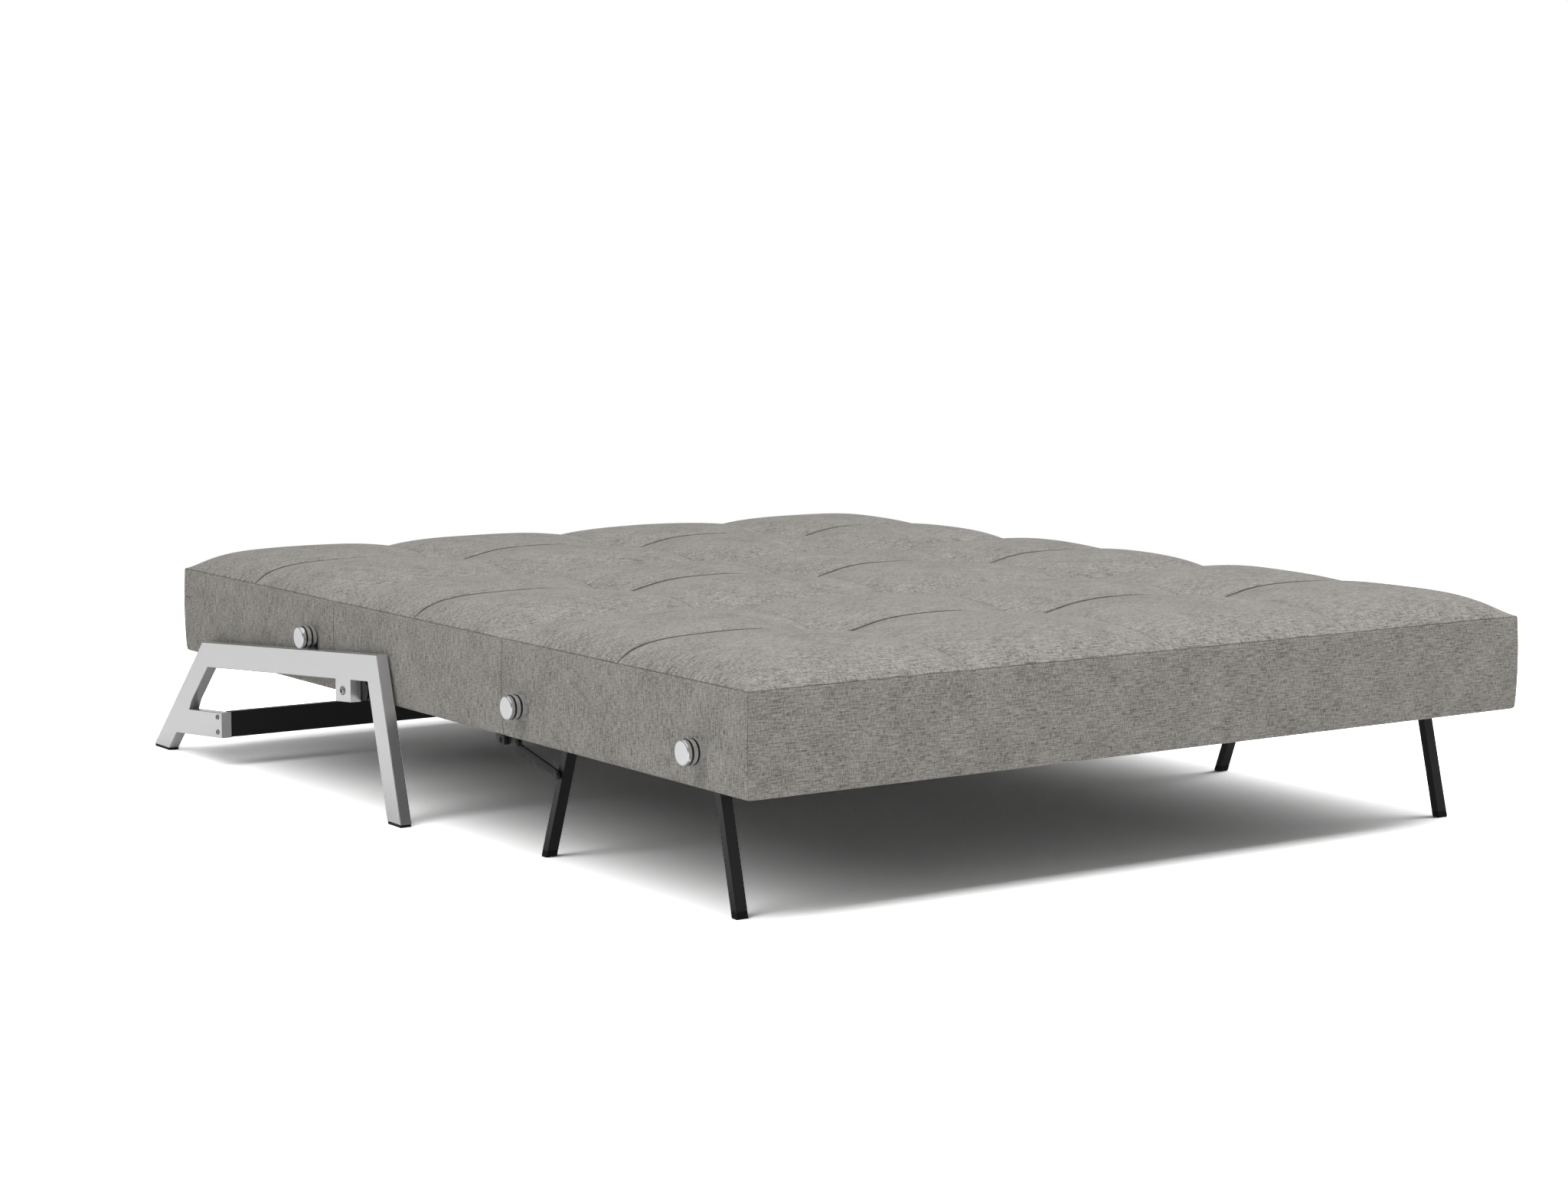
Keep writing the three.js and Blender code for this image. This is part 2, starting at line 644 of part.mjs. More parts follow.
// Height of the padded top above its side seam: it rolls off at the edges and dips at seams and tufts.
function topHeight(x, y, halfX, halfY) {
  const rollAcross = 1 - Math.exp(-(halfX - Math.abs(x)) / edgeRollAcross);
  const rollAlong = 1 - Math.exp(-Math.pow((halfY - Math.abs(y)) / edgeRollAlong, edgeRollPower));
  const puff = 2 * halfX / puffsAcross;
  let dip = seamDepth * Math.exp(-Math.abs(y) / seamSpread);
  for (let line = 1; line < puffsAcross; line += 1) {
    const away = x + halfX - line * puff;
    const fromTuft = Math.hypot(away, y) / tuftSpread;
    dip += seamDepth * Math.exp(-Math.abs(away) / seamSpread);
    dip += (tuftDepth - 2 * seamDepth) * Math.exp(-fromTuft * fromTuft / 2);
  }
  return (crownHeight - dip) * rollAcross * rollAlong;
}

// Rings of points from the bottom rim up to the side seam, then the top grid and the flat bottom.
function cushionGeometry(halfY) {
  const xs = gridLines(bedHalfWidth, puffsAcross);
  const ys = gridLines(halfY, puffsAlong);
  const rise = sideSeamHeight - sectionBottom;
  const rim = [];
  for (let i = 0; i < xs.length - 1; i += 1) rim.push([xs[i], -halfY]);
  for (let j = 0; j < ys.length - 1; j += 1) rim.push([bedHalfWidth, ys[j]]);
  for (let i = xs.length - 1; i > 0; i -= 1) rim.push([xs[i], halfY]);
  for (let j = ys.length - 1; j > 0; j -= 1) rim.push([-bedHalfWidth, ys[j]]);
  const positions = [];
  const ringPoint = ([x, y], row) => {
    const share = row / sideRows;
    const [px, py] = roundedCorner(x, y, bedHalfWidth, halfY);
    const out = row === 0 ? -bottomRound : sideBulge * Math.sin(Math.PI * share);
    const height = row === 0 ? 0 : bottomRound + (rise - bottomRound) * (row - 1) / (sideRows - 1);
    return [px * (1 + out / bedHalfWidth), py * (1 + out / halfY), height];
  };
  const quad = (a, b, c, d) => positions.push(...a, ...b, ...c, ...a, ...c, ...d);
  for (let i = 0; i < rim.length; i += 1) {
    const next = rim[(i + 1) % rim.length];
    for (let row = 0; row < sideRows; row += 1) {
      quad(ringPoint(rim[i], row), ringPoint(next, row),
        ringPoint(next, row + 1), ringPoint(rim[i], row + 1));
    }
    positions.push(0, 0, 0, ...ringPoint(next, 0), ...ringPoint(rim[i], 0));
  }
  const topPoint = (x, y) => {
    const [px, py] = roundedCorner(x, y, bedHalfWidth, halfY);
    const onRim = Math.abs(x) === bedHalfWidth || Math.abs(y) === halfY;
    return onRim ? ringPoint([x, y], sideRows) : [px, py, rise + topHeight(x, y, bedHalfWidth, halfY)];
  };
  for (let i = 0; i < xs.length - 1; i += 1) {
    for (let j = 0; j < ys.length - 1; j += 1) {
      quad(topPoint(xs[i], ys[j]), topPoint(xs[i + 1], ys[j]), topPoint(xs[i + 1], ys[j + 1]),
        topPoint(xs[i], ys[j + 1]));
    }
  }
  const geometry = new THREE.BufferGeometry();
  geometry.setAttribute("position", new THREE.Float32BufferAttribute(positions, 3));
  return mergeVertices(geometry);
}

function section(name, place) {
  const length = place.end - place.start;
  const middle = (place.start + place.end) / 2;
  add(`${name}_cushion`, cushionGeometry(length / 2), fabric, 0, middle, sectionBottom);
  const width = 2 * (bedHalfWidth - boardInset);
  const base = new THREE.BoxGeometry(width, length - 2 * boardInset, boardThickness);
  add(`${name}_board`, base, board, 0, middle, boardUnder + boardThickness / 2);
}

sideFrames();
crossBar();
flipPivots();
seatKnobSet();
backCarriage();
backFittings();
foldHinges();
legPair("front", frontLeg);
legPair("rear", rearLeg);
legSaddles("front", frontLeg);
legSaddles("rear", rearLeg);
stays();
section("seat", seatSection);
section("middle", middleSection);
section("back", backSection);

// The origin stands on the floor under the middle of the whole length.
const frontEnd = seatSection.start - sideBulge;
const rearEnd = meet(rearOuter, padTop).y;
sofa.position.y = -(frontEnd + rearEnd) / 2;

export default sofa;
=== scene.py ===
import json
import math

import bpy
import numpy as np
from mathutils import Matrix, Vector, noise

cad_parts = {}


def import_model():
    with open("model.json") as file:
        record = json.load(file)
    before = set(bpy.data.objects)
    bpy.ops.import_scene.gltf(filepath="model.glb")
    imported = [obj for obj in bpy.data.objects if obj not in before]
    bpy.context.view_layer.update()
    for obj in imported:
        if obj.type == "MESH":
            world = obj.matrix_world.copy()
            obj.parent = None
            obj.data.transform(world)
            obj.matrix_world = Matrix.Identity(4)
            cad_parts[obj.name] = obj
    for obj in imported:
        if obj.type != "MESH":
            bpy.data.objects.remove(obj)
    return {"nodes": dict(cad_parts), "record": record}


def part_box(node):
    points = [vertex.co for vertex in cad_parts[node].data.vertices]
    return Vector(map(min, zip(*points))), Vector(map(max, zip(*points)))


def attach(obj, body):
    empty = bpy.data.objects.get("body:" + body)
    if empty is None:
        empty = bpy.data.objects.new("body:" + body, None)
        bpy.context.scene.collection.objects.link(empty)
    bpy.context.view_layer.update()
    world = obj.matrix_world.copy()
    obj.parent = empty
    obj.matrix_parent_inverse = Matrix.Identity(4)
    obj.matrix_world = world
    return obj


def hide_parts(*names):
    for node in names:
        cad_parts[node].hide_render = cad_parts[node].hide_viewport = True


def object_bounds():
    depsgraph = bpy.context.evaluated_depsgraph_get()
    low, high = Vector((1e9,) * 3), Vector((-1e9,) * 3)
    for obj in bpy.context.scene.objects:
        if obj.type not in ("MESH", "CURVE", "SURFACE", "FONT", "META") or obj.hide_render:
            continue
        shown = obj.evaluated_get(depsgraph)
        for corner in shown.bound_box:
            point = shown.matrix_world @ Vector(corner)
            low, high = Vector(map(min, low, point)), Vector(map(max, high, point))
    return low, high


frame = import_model()
cad_low, cad_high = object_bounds()

SIDES = (("left", -1), ("right", 1))
MM = 0.001


# Node trees

def opaque(colour):
    """A colour with its alpha. A single number stands for a grey."""
    return (*colour, 1) if isinstance(colour, tuple) else (colour, colour, colour, 1)


def pick(sockets, key):
    """A socket by its name or number. Of a Mix node's sockets of one name, it is the one for colours."""
    for_colours = [socket for socket in sockets if socket.name == key and socket.type == "RGBA"]
    return for_colours[0] if for_colours else sockets[key]


def tree_tools(tree):
    """Short ways to add nodes to a tree and to link them."""
    def add(kind, **settings):
        node = tree.nodes.new(kind)
        for key, value in settings.items():
            if key in node.inputs:
                pick(node.inputs, key).default_value = value
            else:
                setattr(node, key, value)
        return node

    def link(source, output, target, socket):
        tree.links.new(pick(source.outputs, output), pick(target.inputs, socket))

    return add, link


def new_material(name):
    """A material with its shader, and the tools for its tree."""
    material = bpy.data.materials.new(name)
    material.use_nodes = True
    return material, material.node_tree.nodes["Principled BSDF"], *tree_tools(material.node_tree)


def set_stops(ramp, first, last, *between):
    """Sets the ends of a colour ramp and adds stops between them. Each stop is a place and a colour."""
    elements = ramp.color_ramp.elements
    for element, (place, colour) in zip(elements, (first, last)):
        element.position = place
        element.color = opaque(colour)
    for place, colour in between:
        elements.new(place).color = opaque(colour)


def threads(add, link, source, output, along, across, detail=2.0):
    """Noise drawn out into threads: `along` and `across` are lumps per metre in each direction."""
    stretch = add("ShaderNodeMapping", Scale=(along, across, 1))
    link(source, output, stretch, "Vector")
    texture = add("ShaderNodeTexNoise", Scale=1.0, Detail=detail, Roughness=0.6)
    link(stretch, "Vector", texture, "Vector")
    return texture


def weighted_sum(add, link, noises):
    """Adds the noises up, each with its weight, around a mean of one half."""
    total = None
    for texture, weight in noises:
        term = add("ShaderNodeMath", operation="MULTIPLY_ADD")
        link(texture, "Fac", term, 0)
        term.inputs[1].default_value = weight
        if total is None:
            term.inputs[2].default_value = 0.5 - 0.5 * sum(w for _, w in noises)
        else:
            link(total, "Value", term, 2)
        total = term
    return total


def uneven_gloss(add, link, texture, shader, roughness, spread):
    """Lets a texture vary the roughness by `spread` to either side."""
    gloss = add("ShaderNodeMapRange", **{"To Min": roughness - spread, "To Max": roughness + spread})
    link(texture, "Fac", gloss, "Value")
    link(gloss, "Result", shader, "Roughness")


def relief(add, link, source, output, shader, strength, depth):
    """Lets a texture stand out from the surface by up to `depth`."""
    bump = add("ShaderNodeBump", Strength=strength, Distance=depth)
    link(source, output, bump, "Height")
    link(bump, "Normal", shader, "Normal")


# Materials. Threads are lumps per metre along and across them, detail, and weight in the tone.

SLUBS = (42, 620, 2.0, 0.95)
CROSSING_THREADS = (700, 90, 2.0, 0.8)
FINE_THREADS = (900, 900, 1.0, 0.7)
COARSE_GRAINS = (190, 260, 2.0, 0.45)
PATCHES_PER_METRE = 16.0
PATCH_WEIGHT = 0.28
FABRIC_DARK = (0.22, (0.125, 0.117, 0.104))
FABRIC_MIDDLE = (0.48, (0.345, 0.330, 0.303))
FABRIC_LIGHT = (0.80, (0.56, 0.54, 0.50))
# Painted shade: the near-black that the cover is darkened towards in its creases and seams.
PAINTED_SHADE_COLOUR = (0.018, 0.016, 0.014)
WEAVE_RELIEF = 0.6 * MM

POLISH_ALONG = 20
POLISH_ACROSS = 900
POLISH_SPREAD = 0.05
POLISH_RELIEF = 0.2 * MM

COAT_DARK = (0.3, 0.8)
COAT_LIGHT = (0.7, 1.25)
COAT_SPREAD = 0.06


def fabric_material():
    """Grey melange weave: long slubs along one thread, shorter ones across it, and cloudy lighter patches."""
    material, shader, add, link = new_material("melange_fabric")
    weave = add("ShaderNodeUVMap", uv_map="weave")
    place = add("ShaderNodeTexCoord")
    noises = []
    for along, across, detail, weight in (SLUBS, CROSSING_THREADS, FINE_THREADS, COARSE_GRAINS):
        noises.append((threads(add, link, weave, "UV", along, across, detail), weight))
    patches = add("ShaderNodeTexNoise", Scale=PATCHES_PER_METRE, Detail=4.0, Roughness=0.62)
    link(place, "Object", patches, "Vector")
    noises.append((patches, PATCH_WEIGHT))
    value = weighted_sum(add, link, noises)
    tone = add("ShaderNodeValToRGB")
    set_stops(tone, FABRIC_DARK, FABRIC_LIGHT, FABRIC_MIDDLE)
    link(value, "Value", tone, "Fac")
    # Painted shade: a per-point value darkens the weave towards near-black in the creases and seams.
    seam = add("ShaderNodeAttribute", attribute_name="seam")
    shade = add("ShaderNodeMix", data_type="RGBA", blend_type="MIX", B=opaque(PAINTED_SHADE_COLOUR))
    link(seam, "Fac", shade, "Factor")
    link(tone, "Color", shade, "A")
    link(shade, "Result", shader, "Base Color")
    relief(add, link, value, "Value", shader, 0.5, WEAVE_RELIEF)
    shader.inputs["Roughness"].default_value = 0.93
    shader.inputs["Specular IOR Level"].default_value = 0.2
    shader.inputs["Sheen Weight"].default_value = 0.12
    shader.inputs["Sheen Roughness"].default_value = 0.5
    return material


def chrome_material(name, colour, roughness, metallic=1.0):
    """Plated steel with faint polishing lines and slightly uneven gloss."""
    material, shader, add, link = new_material(name)
    place = add("ShaderNodeTexCoord")
    lines = threads(add, link, place, "Object", POLISH_ALONG, POLISH_ACROSS)
    uneven_gloss(add, link, lines, shader, roughness, POLISH_SPREAD)
    relief(add, link, lines, "Fac", shader, 0.02, POLISH_RELIEF)
    shader.inputs["Base Color"].default_value = opaque(colour)
    shader.inputs["Metallic"].default_value = metallic
    return material


def coated_material(name, colour, roughness, grain, depth, specular=0.5):
    """Powder coat, rubber or lining cloth: one dark colour with a fine grain in tone, gloss and relief."""
    material, shader, add, link = new_material(name)
    place = add("ShaderNodeTexCoord")
    texture = add("ShaderNodeTexNoise", Scale=grain, Detail=3.0, Roughness=0.6)
    link(place, "Object", texture, "Vector")
    tone = add("ShaderNodeValToRGB")
    set_stops(tone, *((stop, tuple(share * c for c in colour)) for stop, share in (COAT_DARK, COAT_LIGHT)))
    link(texture, "Fac", tone, "Fac")
    link(tone, "Color", shader, "Base Color")
    uneven_gloss(add, link, texture, shader, roughness, COAT_SPREAD)
    relief(add, link, texture, "Fac", shader, 0.25, depth)
    shader.inputs["Specular IOR Level"].default_value = specular
    return material


FABRIC = fabric_material()
CHROME = chrome_material("bright_chrome", (0.72, 0.725, 0.735), roughness=0.13, metallic=0.75)
FRAME_CHROME = chrome_material("satin_chrome", (0.70, 0.702, 0.707), roughness=0.20, metallic=0.72)
SCREW_STEEL = chrome_material("screw_steel", (0.36, 0.36, 0.365), roughness=0.24)
BLACK = coated_material("black_powder_coat", (0.010, 0.010, 0.0103), roughness=0.40, grain=1400,
                        depth=0.2 * MM, specular=0.4)
RUBBER = coated_material("black_rubber", (0.006, 0.006, 0.006), roughness=0.55, grain=900,
                         depth=0.2 * MM, specular=0.25)
LINING = coated_material("black_lining", (0.022, 0.021, 0.020), roughness=0.88, grain=1800, depth=0.4 * MM)
FINISHES = {"chrome": FRAME_CHROME, "black_steel": BLACK, "rubber": RUBBER, "board": LINING, "fabric": FABRIC}


def finish_cad_nodes():
    """Gives every CAD node the finish of its slot."""
    for entry in frame["record"]["subparts"]:
        materials = frame["nodes"][entry["node"]].data.materials
        materials.clear()
        materials.append(FINISHES[entry["material_slot"]])


# Mesh helpers

def mesh_object(name, vertices, faces, material, sharp=None):
    """A smooth piece, with its edges of more than `sharp` degrees left sharp."""
    mesh = bpy.data.meshes.new(name)
    mesh.from_pydata(vertices, [], faces)
    mesh.materials.append(material)
    mesh.shade_smooth()
    mesh.update()
    if sharp is not None:
        mesh.set_sharp_from_angle(angle=math.radians(sharp))
    piece = bpy.data.objects.new(name, mesh)
    bpy.context.scene.collection.objects.link(piece)
    return piece


def arc(centre, radius, start, end, steps):
    """Points of an arc from one angle to the other, in degrees."""
    turns = [math.radians(start + (end - start) * i / steps) for i in range(steps + 1)]
    return [(centre[0] + radius * math.cos(t), centre[1] + radius * math.sin(t)) for t in turns]


def skin(rows, steps, mirrored, closed=False):
    """Faces over `rows` loops of `steps` points, closed by two ends, or on itself like a ring.

    They face out where the loops run counter-clockwise as seen from the last one, or else `mirrored` turns
    them over.
    """
    faces = []
    for row in range(rows if closed else rows - 1):
        here, there = row * steps, (row + 1) % rows * steps
        for step in range(steps):
            after = (step + 1) % steps
            faces.append((here + step, here + after, there + after, there + step))
    if not closed:
        faces.append(tuple(reversed(range(steps))))
        faces.append(tuple(range((rows - 1) * steps, rows * steps)))
    return [face[::-1] for face in faces] if mirrored else faces


def turned(profile, steps, start, side, closed=False):
    """Vertices and faces of a piece turned about a line along X, which runs outwards from its start.

    A point of the profile is a radius and a distance from the start. The radius may be a function of the angle.
    """
    vertices = []
    for radius, distance in profile:
        for step in range(steps):
            angle = 2 * math.pi * step / steps
            reach = radius(angle) if callable(radius) else radius
            vertices.append((start[0] + side * distance, start[1] + reach * math.cos(angle),
                             start[2] + reach * math.sin(angle)))
    return vertices, skin(len(profile), steps, side < 0, closed)


def turning_line(node, side):
    """Where a round node starts on its line, how long it is, and its radius."""
    low, high = (Vector(corner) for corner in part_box(node))
    start = (high.x if side < 0 else low.x, (low.y + high.y) / 2, (low.z + high.z) / 2)
    return start, high.x - low.x, (high.z - low.z) / 2


# Knobs, their rings, and screws. The heads of the screws are shares of their nodes' radius and height.

KNOB_RADIUS = 19.6 * MM
KNOB_FRONT_EDGE = 2.6 * MM
KNOB_BACK_EDGE = 0.8 * MM
KNOB_BACK_GAP = 0.4 * MM
KNOB_FACE_CENTRE = 0.5 * MM
KNOB_STEPS = 64
NECK_RADIUS = 9 * MM
NECK_LENGTH = 5 * MM
RING_PLACES = (14.0 * MM, 24.6 * MM)
RING_SECTION = 1.8 * MM
RING_PROUD = 0.9 * MM
GROOVE_DEPTH = 1.5 * MM
GROOVE_SLOPE = 0.3 * MM

SCREW_STEPS = 48
HEAD_RIM_SHARE = 0.25
HEAD_CROWN_SHARE = 0.34
SOCKET_SHARE = 0.52
SOCKET_MOUTH_SHARE = 0.98
SOCKET_WALL_SHARE = 0.3
SOCKET_FLOOR_SHARE = 0.25
SOCKET_CENTRE_SHARE = 0.1


def knob(node, side, body):
    """Chrome knob with a rounded front edge and two rubber rings in grooves, in place of its CAD node."""
    start, length, _ = turning_line(node, side)
    back, flat = KNOB_BACK_GAP, KNOB_RADIUS - KNOB_BACK_EDGE
    profile = [(flat, 0)]
    if node.startswith("back"):
        back += NECK_LENGTH
        profile = [(NECK_RADIUS, 0), (NECK_RADIUS, back)]
    profile += arc((flat, back + KNOB_BACK_EDGE), KNOB_BACK_EDGE, -90, 0, 3)
    floor = KNOB_RADIUS - GROOVE_DEPTH
    for place in RING_PLACES:
        near, far = place - RING_SECTION, place + RING_SECTION
        profile += [(KNOB_RADIUS, near), (floor, near + GROOVE_SLOPE)]
        profile += [(floor, far - GROOVE_SLOPE), (KNOB_RADIUS, far)]
    profile += arc((KNOB_RADIUS - KNOB_FRONT_EDGE, length - KNOB_FRONT_EDGE), KNOB_FRONT_EDGE, 0, 90, 8)
    profile += [(KNOB_RADIUS / 2, length), (KNOB_FACE_CENTRE, length)]
    vertices, faces = turned(profile, KNOB_STEPS, start, side)
    piece = mesh_object(node.replace("knob", "chrome_knob"), vertices, faces, CHROME, sharp=32)
    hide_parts(node)
    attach(piece, body)
    for number, place in enumerate(RING_PLACES, 1):
        hoop = arc((KNOB_RADIUS + RING_PROUD - RING_SECTION, place), RING_SECTION, -90, 270, 16)[:-1]
        vertices, faces = turned(hoop, KNOB_STEPS, start, side, closed=True)
        ring = mesh_object(f"{node}_ring_{number}", vertices, faces, RUBBER)
        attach(ring, body)


def screw(node, side, body):
    """Button head with a hexagon socket, in place of its CAD node."""
    start, height, radius = turning_line(node, side)

    def hexagon(angle):
        return SOCKET_SHARE * radius / math.cos((angle % (math.pi / 3)) - math.pi / 6)

    rim = HEAD_RIM_SHARE * height
    profile = [(radius, 0), (radius, rim)]
    for t in (0.25, 0.5, 0.75, 1):
        crown = rim + (height - rim) * math.sin(t * math.pi / 2)
        profile.append((radius * (1 - HEAD_CROWN_SHARE * t * t), crown))
    profile += [(hexagon, SOCKET_MOUTH_SHARE * height), (hexagon, SOCKET_WALL_SHARE * height),
                (SOCKET_CENTRE_SHARE * radius, SOCKET_FLOOR_SHARE * height)]
    name = node.replace("screw", "socket_screw").replace("bolt", "socket_bolt")
    vertices, faces = turned(profile, SCREW_STEPS, start, side)
    piece = mesh_object(name, vertices, faces, SCREW_STEEL, sharp=30)
    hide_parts(node)
    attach(piece, body)


# Brackets and stays. A bolt or an axis is its place along and its level. A pair named ALONG is front and
# rear, LEVELS is low and top, and ACROSS is inner and outer, from the middle of the sofa.

HINGE = (-349.5 * MM, 193 * MM)
TILT_AXIS = (372.5 * MM, 291.7 * MM)
BOARD_UNDERSIDE = 203.1 * MM
TIE_LEVELS = (198.2 * MM, 201.2 * MM)
EYE_RADIUS = 7.5 * MM
EYE_STEPS = 14
DISC_STEPS = 24
EDGE_BREAK = 0.4 * MM
FOOT_THICKNESS = 2.5 * MM
FOOT_CORNER = 6 * MM
FOOT_ACROSS = (757 * MM, 776 * MM)

STAY_BOLT = (-318.5 * MM, 192.5 * MM)
STAY_STUD = (-419 * MM, 145 * MM)
STAY_WIDTH = 14 * MM
STAY_THICKNESS = 4 * MM
STAY_FOOT = 749.5 * MM
STAY_TOP = 780.5 * MM
STAY_EDGE_BREAK = 0.5 * MM
STAY_END_TURNS = (8, 25, 45, 65, 90)
STAY_STEPS = 12
STAY_HEAD_RADIUS = 4.6 * MM
STAY_HEAD_HEIGHT = 1.8 * MM
STUD_RADIUS = 4 * MM
STUD_ACROSS = (780 * MM, 787 * MM)

PLATE_ALONG = (-323.6 * MM, -295.5 * MM)
PLATE_LEVELS = (185.2 * MM, 203 * MM)
PLATE_ACROSS = (794 * MM, 797 * MM)
PLATE_CORNER = 4 * MM
PLATE_BOLT = (-309.5 * MM, 192.5 * MM)
BOLT_RADIUS = 5 * MM
BOLT_ACROSS = (797 * MM, 798.6 * MM)
BOLT_CAP_RADIUS = 3.2 * MM
BOLT_CAP_ACROSS = (798.6 * MM, 799.6 * MM)
STEP_ALONG = (-323.6 * MM, -317 * MM)
STEP_LEVELS = (186 * MM, 201.2 * MM)
STEP_ACROSS = (788 * MM, 794 * MM)
ARM_ALONG = (-340 * MM, -316 * MM)
ARM_ACROSS = (787 * MM, 790 * MM)
MIDDLE_TIE_ALONG = (-316 * MM, -300 * MM)
MIDDLE_TIE_ACROSS = (770 * MM, 794 * MM)
MIDDLE_FOOT_ALONG = (-330 * MM, -262 * MM)

SEAT_WEB_ALONG = (-356 * MM, -343 * MM)
SEAT_WEB_ACROSS = (782 * MM, 785 * MM)
SEAT_PIN_RADIUS = 4 * MM
SEAT_PIN_ACROSS = (785 * MM, 791.5 * MM)
SEAT_TIE_ALONG = (-357 * MM, -343 * MM)
SEAT_TIE_ACROSS = (766 * MM, 782 * MM)
SEAT_FOOT_ALONG = (-411 * MM, -343 * MM)

BACK_WEB_ALONG = (358 * MM, 432 * MM)
BACK_WEB_LEVELS = (202.6 * MM, 215 * MM)
BACK_WEB_ACROSS = (792 * MM, 794.5 * MM)
BACK_EYE_RADIUS = 13 * MM
BUSH_RADIUS = 8 * MM
BUSH_ACROSS = (794.5 * MM, 800.1 * MM)
BACK_FOOT_ALONG = (360 * MM, 430 * MM)
BACK_FOOT_ACROSS = (742 * MM, 776 * MM)


def break_edges(piece, width):
    """Rounds off the sharp edges of a plate."""
    bevel = piece.modifiers.new("edge_break", "BEVEL")
    bevel.width = width
    bevel.segments = 2
    bevel.limit_method = "ANGLE"
    bevel.angle_limit = math.radians(50)


def extruded(name, outline, across, side):
    """Plate of an outline in the YZ plane, listed counter-clockwise as seen from +X."""
    vertices = [(side * x, y, z) for x in across for y, z in outline]
    plate = mesh_object(name, vertices, skin(2, len(outline), side < 0), BLACK)
    break_edges(plate, EDGE_BREAK)
    return plate


def disc(name, centre, radius, across, side):
    return extruded(name, arc(centre, radius, 0, 360, DISC_STEPS)[:-1], across, side)


def oblong(along, levels):
    front, rear = along
    low, top = levels
    return [(front, low), (rear, low), (rear, top), (front, top)]


def foot(along, across, side):
    """Foot of a bracket: a plate with round corners under the board."""
    front, rear = along[0] + FOOT_CORNER, along[1] - FOOT_CORNER
    inner, outer = across[0] + FOOT_CORNER, across[1] - FOOT_CORNER
    outline = []
    for quarter, centre in enumerate(((outer, rear), (inner, rear), (inner, front), (outer, front))):
        outline += arc(centre, FOOT_CORNER, 90 * quarter, 90 * quarter + 90, 6)
    levels = (BOARD_UNDERSIDE - FOOT_THICKNESS, BOARD_UNDERSIDE)
    vertices = [(side * x, y, z) for z in levels for x, y in outline]
    return mesh_object("foot", vertices, skin(2, len(outline), side < 0), BLACK)


def merged_piece(name, node, body, pieces):
    """One black piece from several closed bodies, in place of its CAD node."""
    bpy.context.view_layer.update()
    depsgraph = bpy.context.evaluated_depsgraph_get()
    vertices, faces = [], []
    for piece in pieces:
        mesh = piece.evaluated_get(depsgraph).to_mesh()
        start = len(vertices)
        vertices += [tuple(vertex.co) for vertex in mesh.vertices]
        faces += [tuple(start + index for index in polygon.vertices) for polygon in mesh.polygons]
    whole = mesh_object(name, vertices, faces, BLACK, sharp=35)
    for piece in pieces:
        bpy.data.objects.remove(piece)
    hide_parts(node)
    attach(whole, body)


def middle_bracket(side_name, side):
    """Plate with one bolt at the fold, and an arm behind it with the stay's stud and the hinge's eye."""
    front, rear = PLATE_ALONG
    low, top = PLATE_LEVELS
    plate = arc((rear - PLATE_CORNER, low + PLATE_CORNER), PLATE_CORNER, -90, 0, 5)
    plate += [(rear, top), (front, top)]
    plate += arc((front + PLATE_CORNER, low + PLATE_CORNER), PLATE_CORNER, 180, 270, 5)
    arm = [(ARM_ALONG[1], low), (ARM_ALONG[1], TIE_LEVELS[1]), (ARM_ALONG[0], TIE_LEVELS[1])]
    arm += arc(HINGE, EYE_RADIUS, 100, 260, EYE_STEPS)
    merged_piece(f"middle_bracket_{side_name}", f"middle_leaf_{side_name}", "middle_section", [
        extruded("plate", plate, PLATE_ACROSS, side),
        disc("bolt", PLATE_BOLT, BOLT_RADIUS, BOLT_ACROSS, side),
        disc("cap", PLATE_BOLT, BOLT_CAP_RADIUS, BOLT_CAP_ACROSS, side),
        extruded("step", oblong(STEP_ALONG, STEP_LEVELS), STEP_ACROSS, side),
        extruded("arm", arm, ARM_ACROSS, side),
        disc("stud", STAY_BOLT, STUD_RADIUS, STUD_ACROSS, side),
        extruded("tie", oblong(MIDDLE_TIE_ALONG, TIE_LEVELS), MIDDLE_TIE_ACROSS, side),
        foot(MIDDLE_FOOT_ALONG, FOOT_ACROSS, side)])


def seat_bracket(side_name, side):
    """Web under the seat's rear edge with the pin of the hinge."""
    front, rear = SEAT_WEB_ALONG
    web = arc(HINGE, EYE_RADIUS, 180, 360, EYE_STEPS) + [(rear, TIE_LEVELS[1]), (front, TIE_LEVELS[1])]
    merged_piece(f"seat_bracket_{side_name}", f"seat_leaf_{side_name}", "seat_section", [
        extruded("web", web, SEAT_WEB_ACROSS, side),
        disc("pin", HINGE, SEAT_PIN_RADIUS, SEAT_PIN_ACROSS, side),
        extruded("tie", oblong(SEAT_TIE_ALONG, TIE_LEVELS), SEAT_TIE_ACROSS, side),
        foot(SEAT_FOOT_ALONG, FOOT_ACROSS, side)])


def back_bracket(side_name, side):
    """Web under the back section, up to an eye round the neck of its knob."""
    front, rear = BACK_WEB_ALONG
    low, top = BACK_WEB_LEVELS
    web = [(front, low), (rear, low), (rear, top)]
    web += arc(TILT_AXIS, BACK_EYE_RADIUS, 10, 190, EYE_STEPS) + [(front, top)]
    merged_piece(f"back_bracket_{side_name}", f"back_leaf_{side_name}", "back_section", [
        extruded("web", web, BACK_WEB_ACROSS, side),
        disc("bush", TILT_AXIS, BUSH_RADIUS, BUSH_ACROSS, side),
        foot(BACK_FOOT_ALONG, BACK_FOOT_ACROSS, side)])


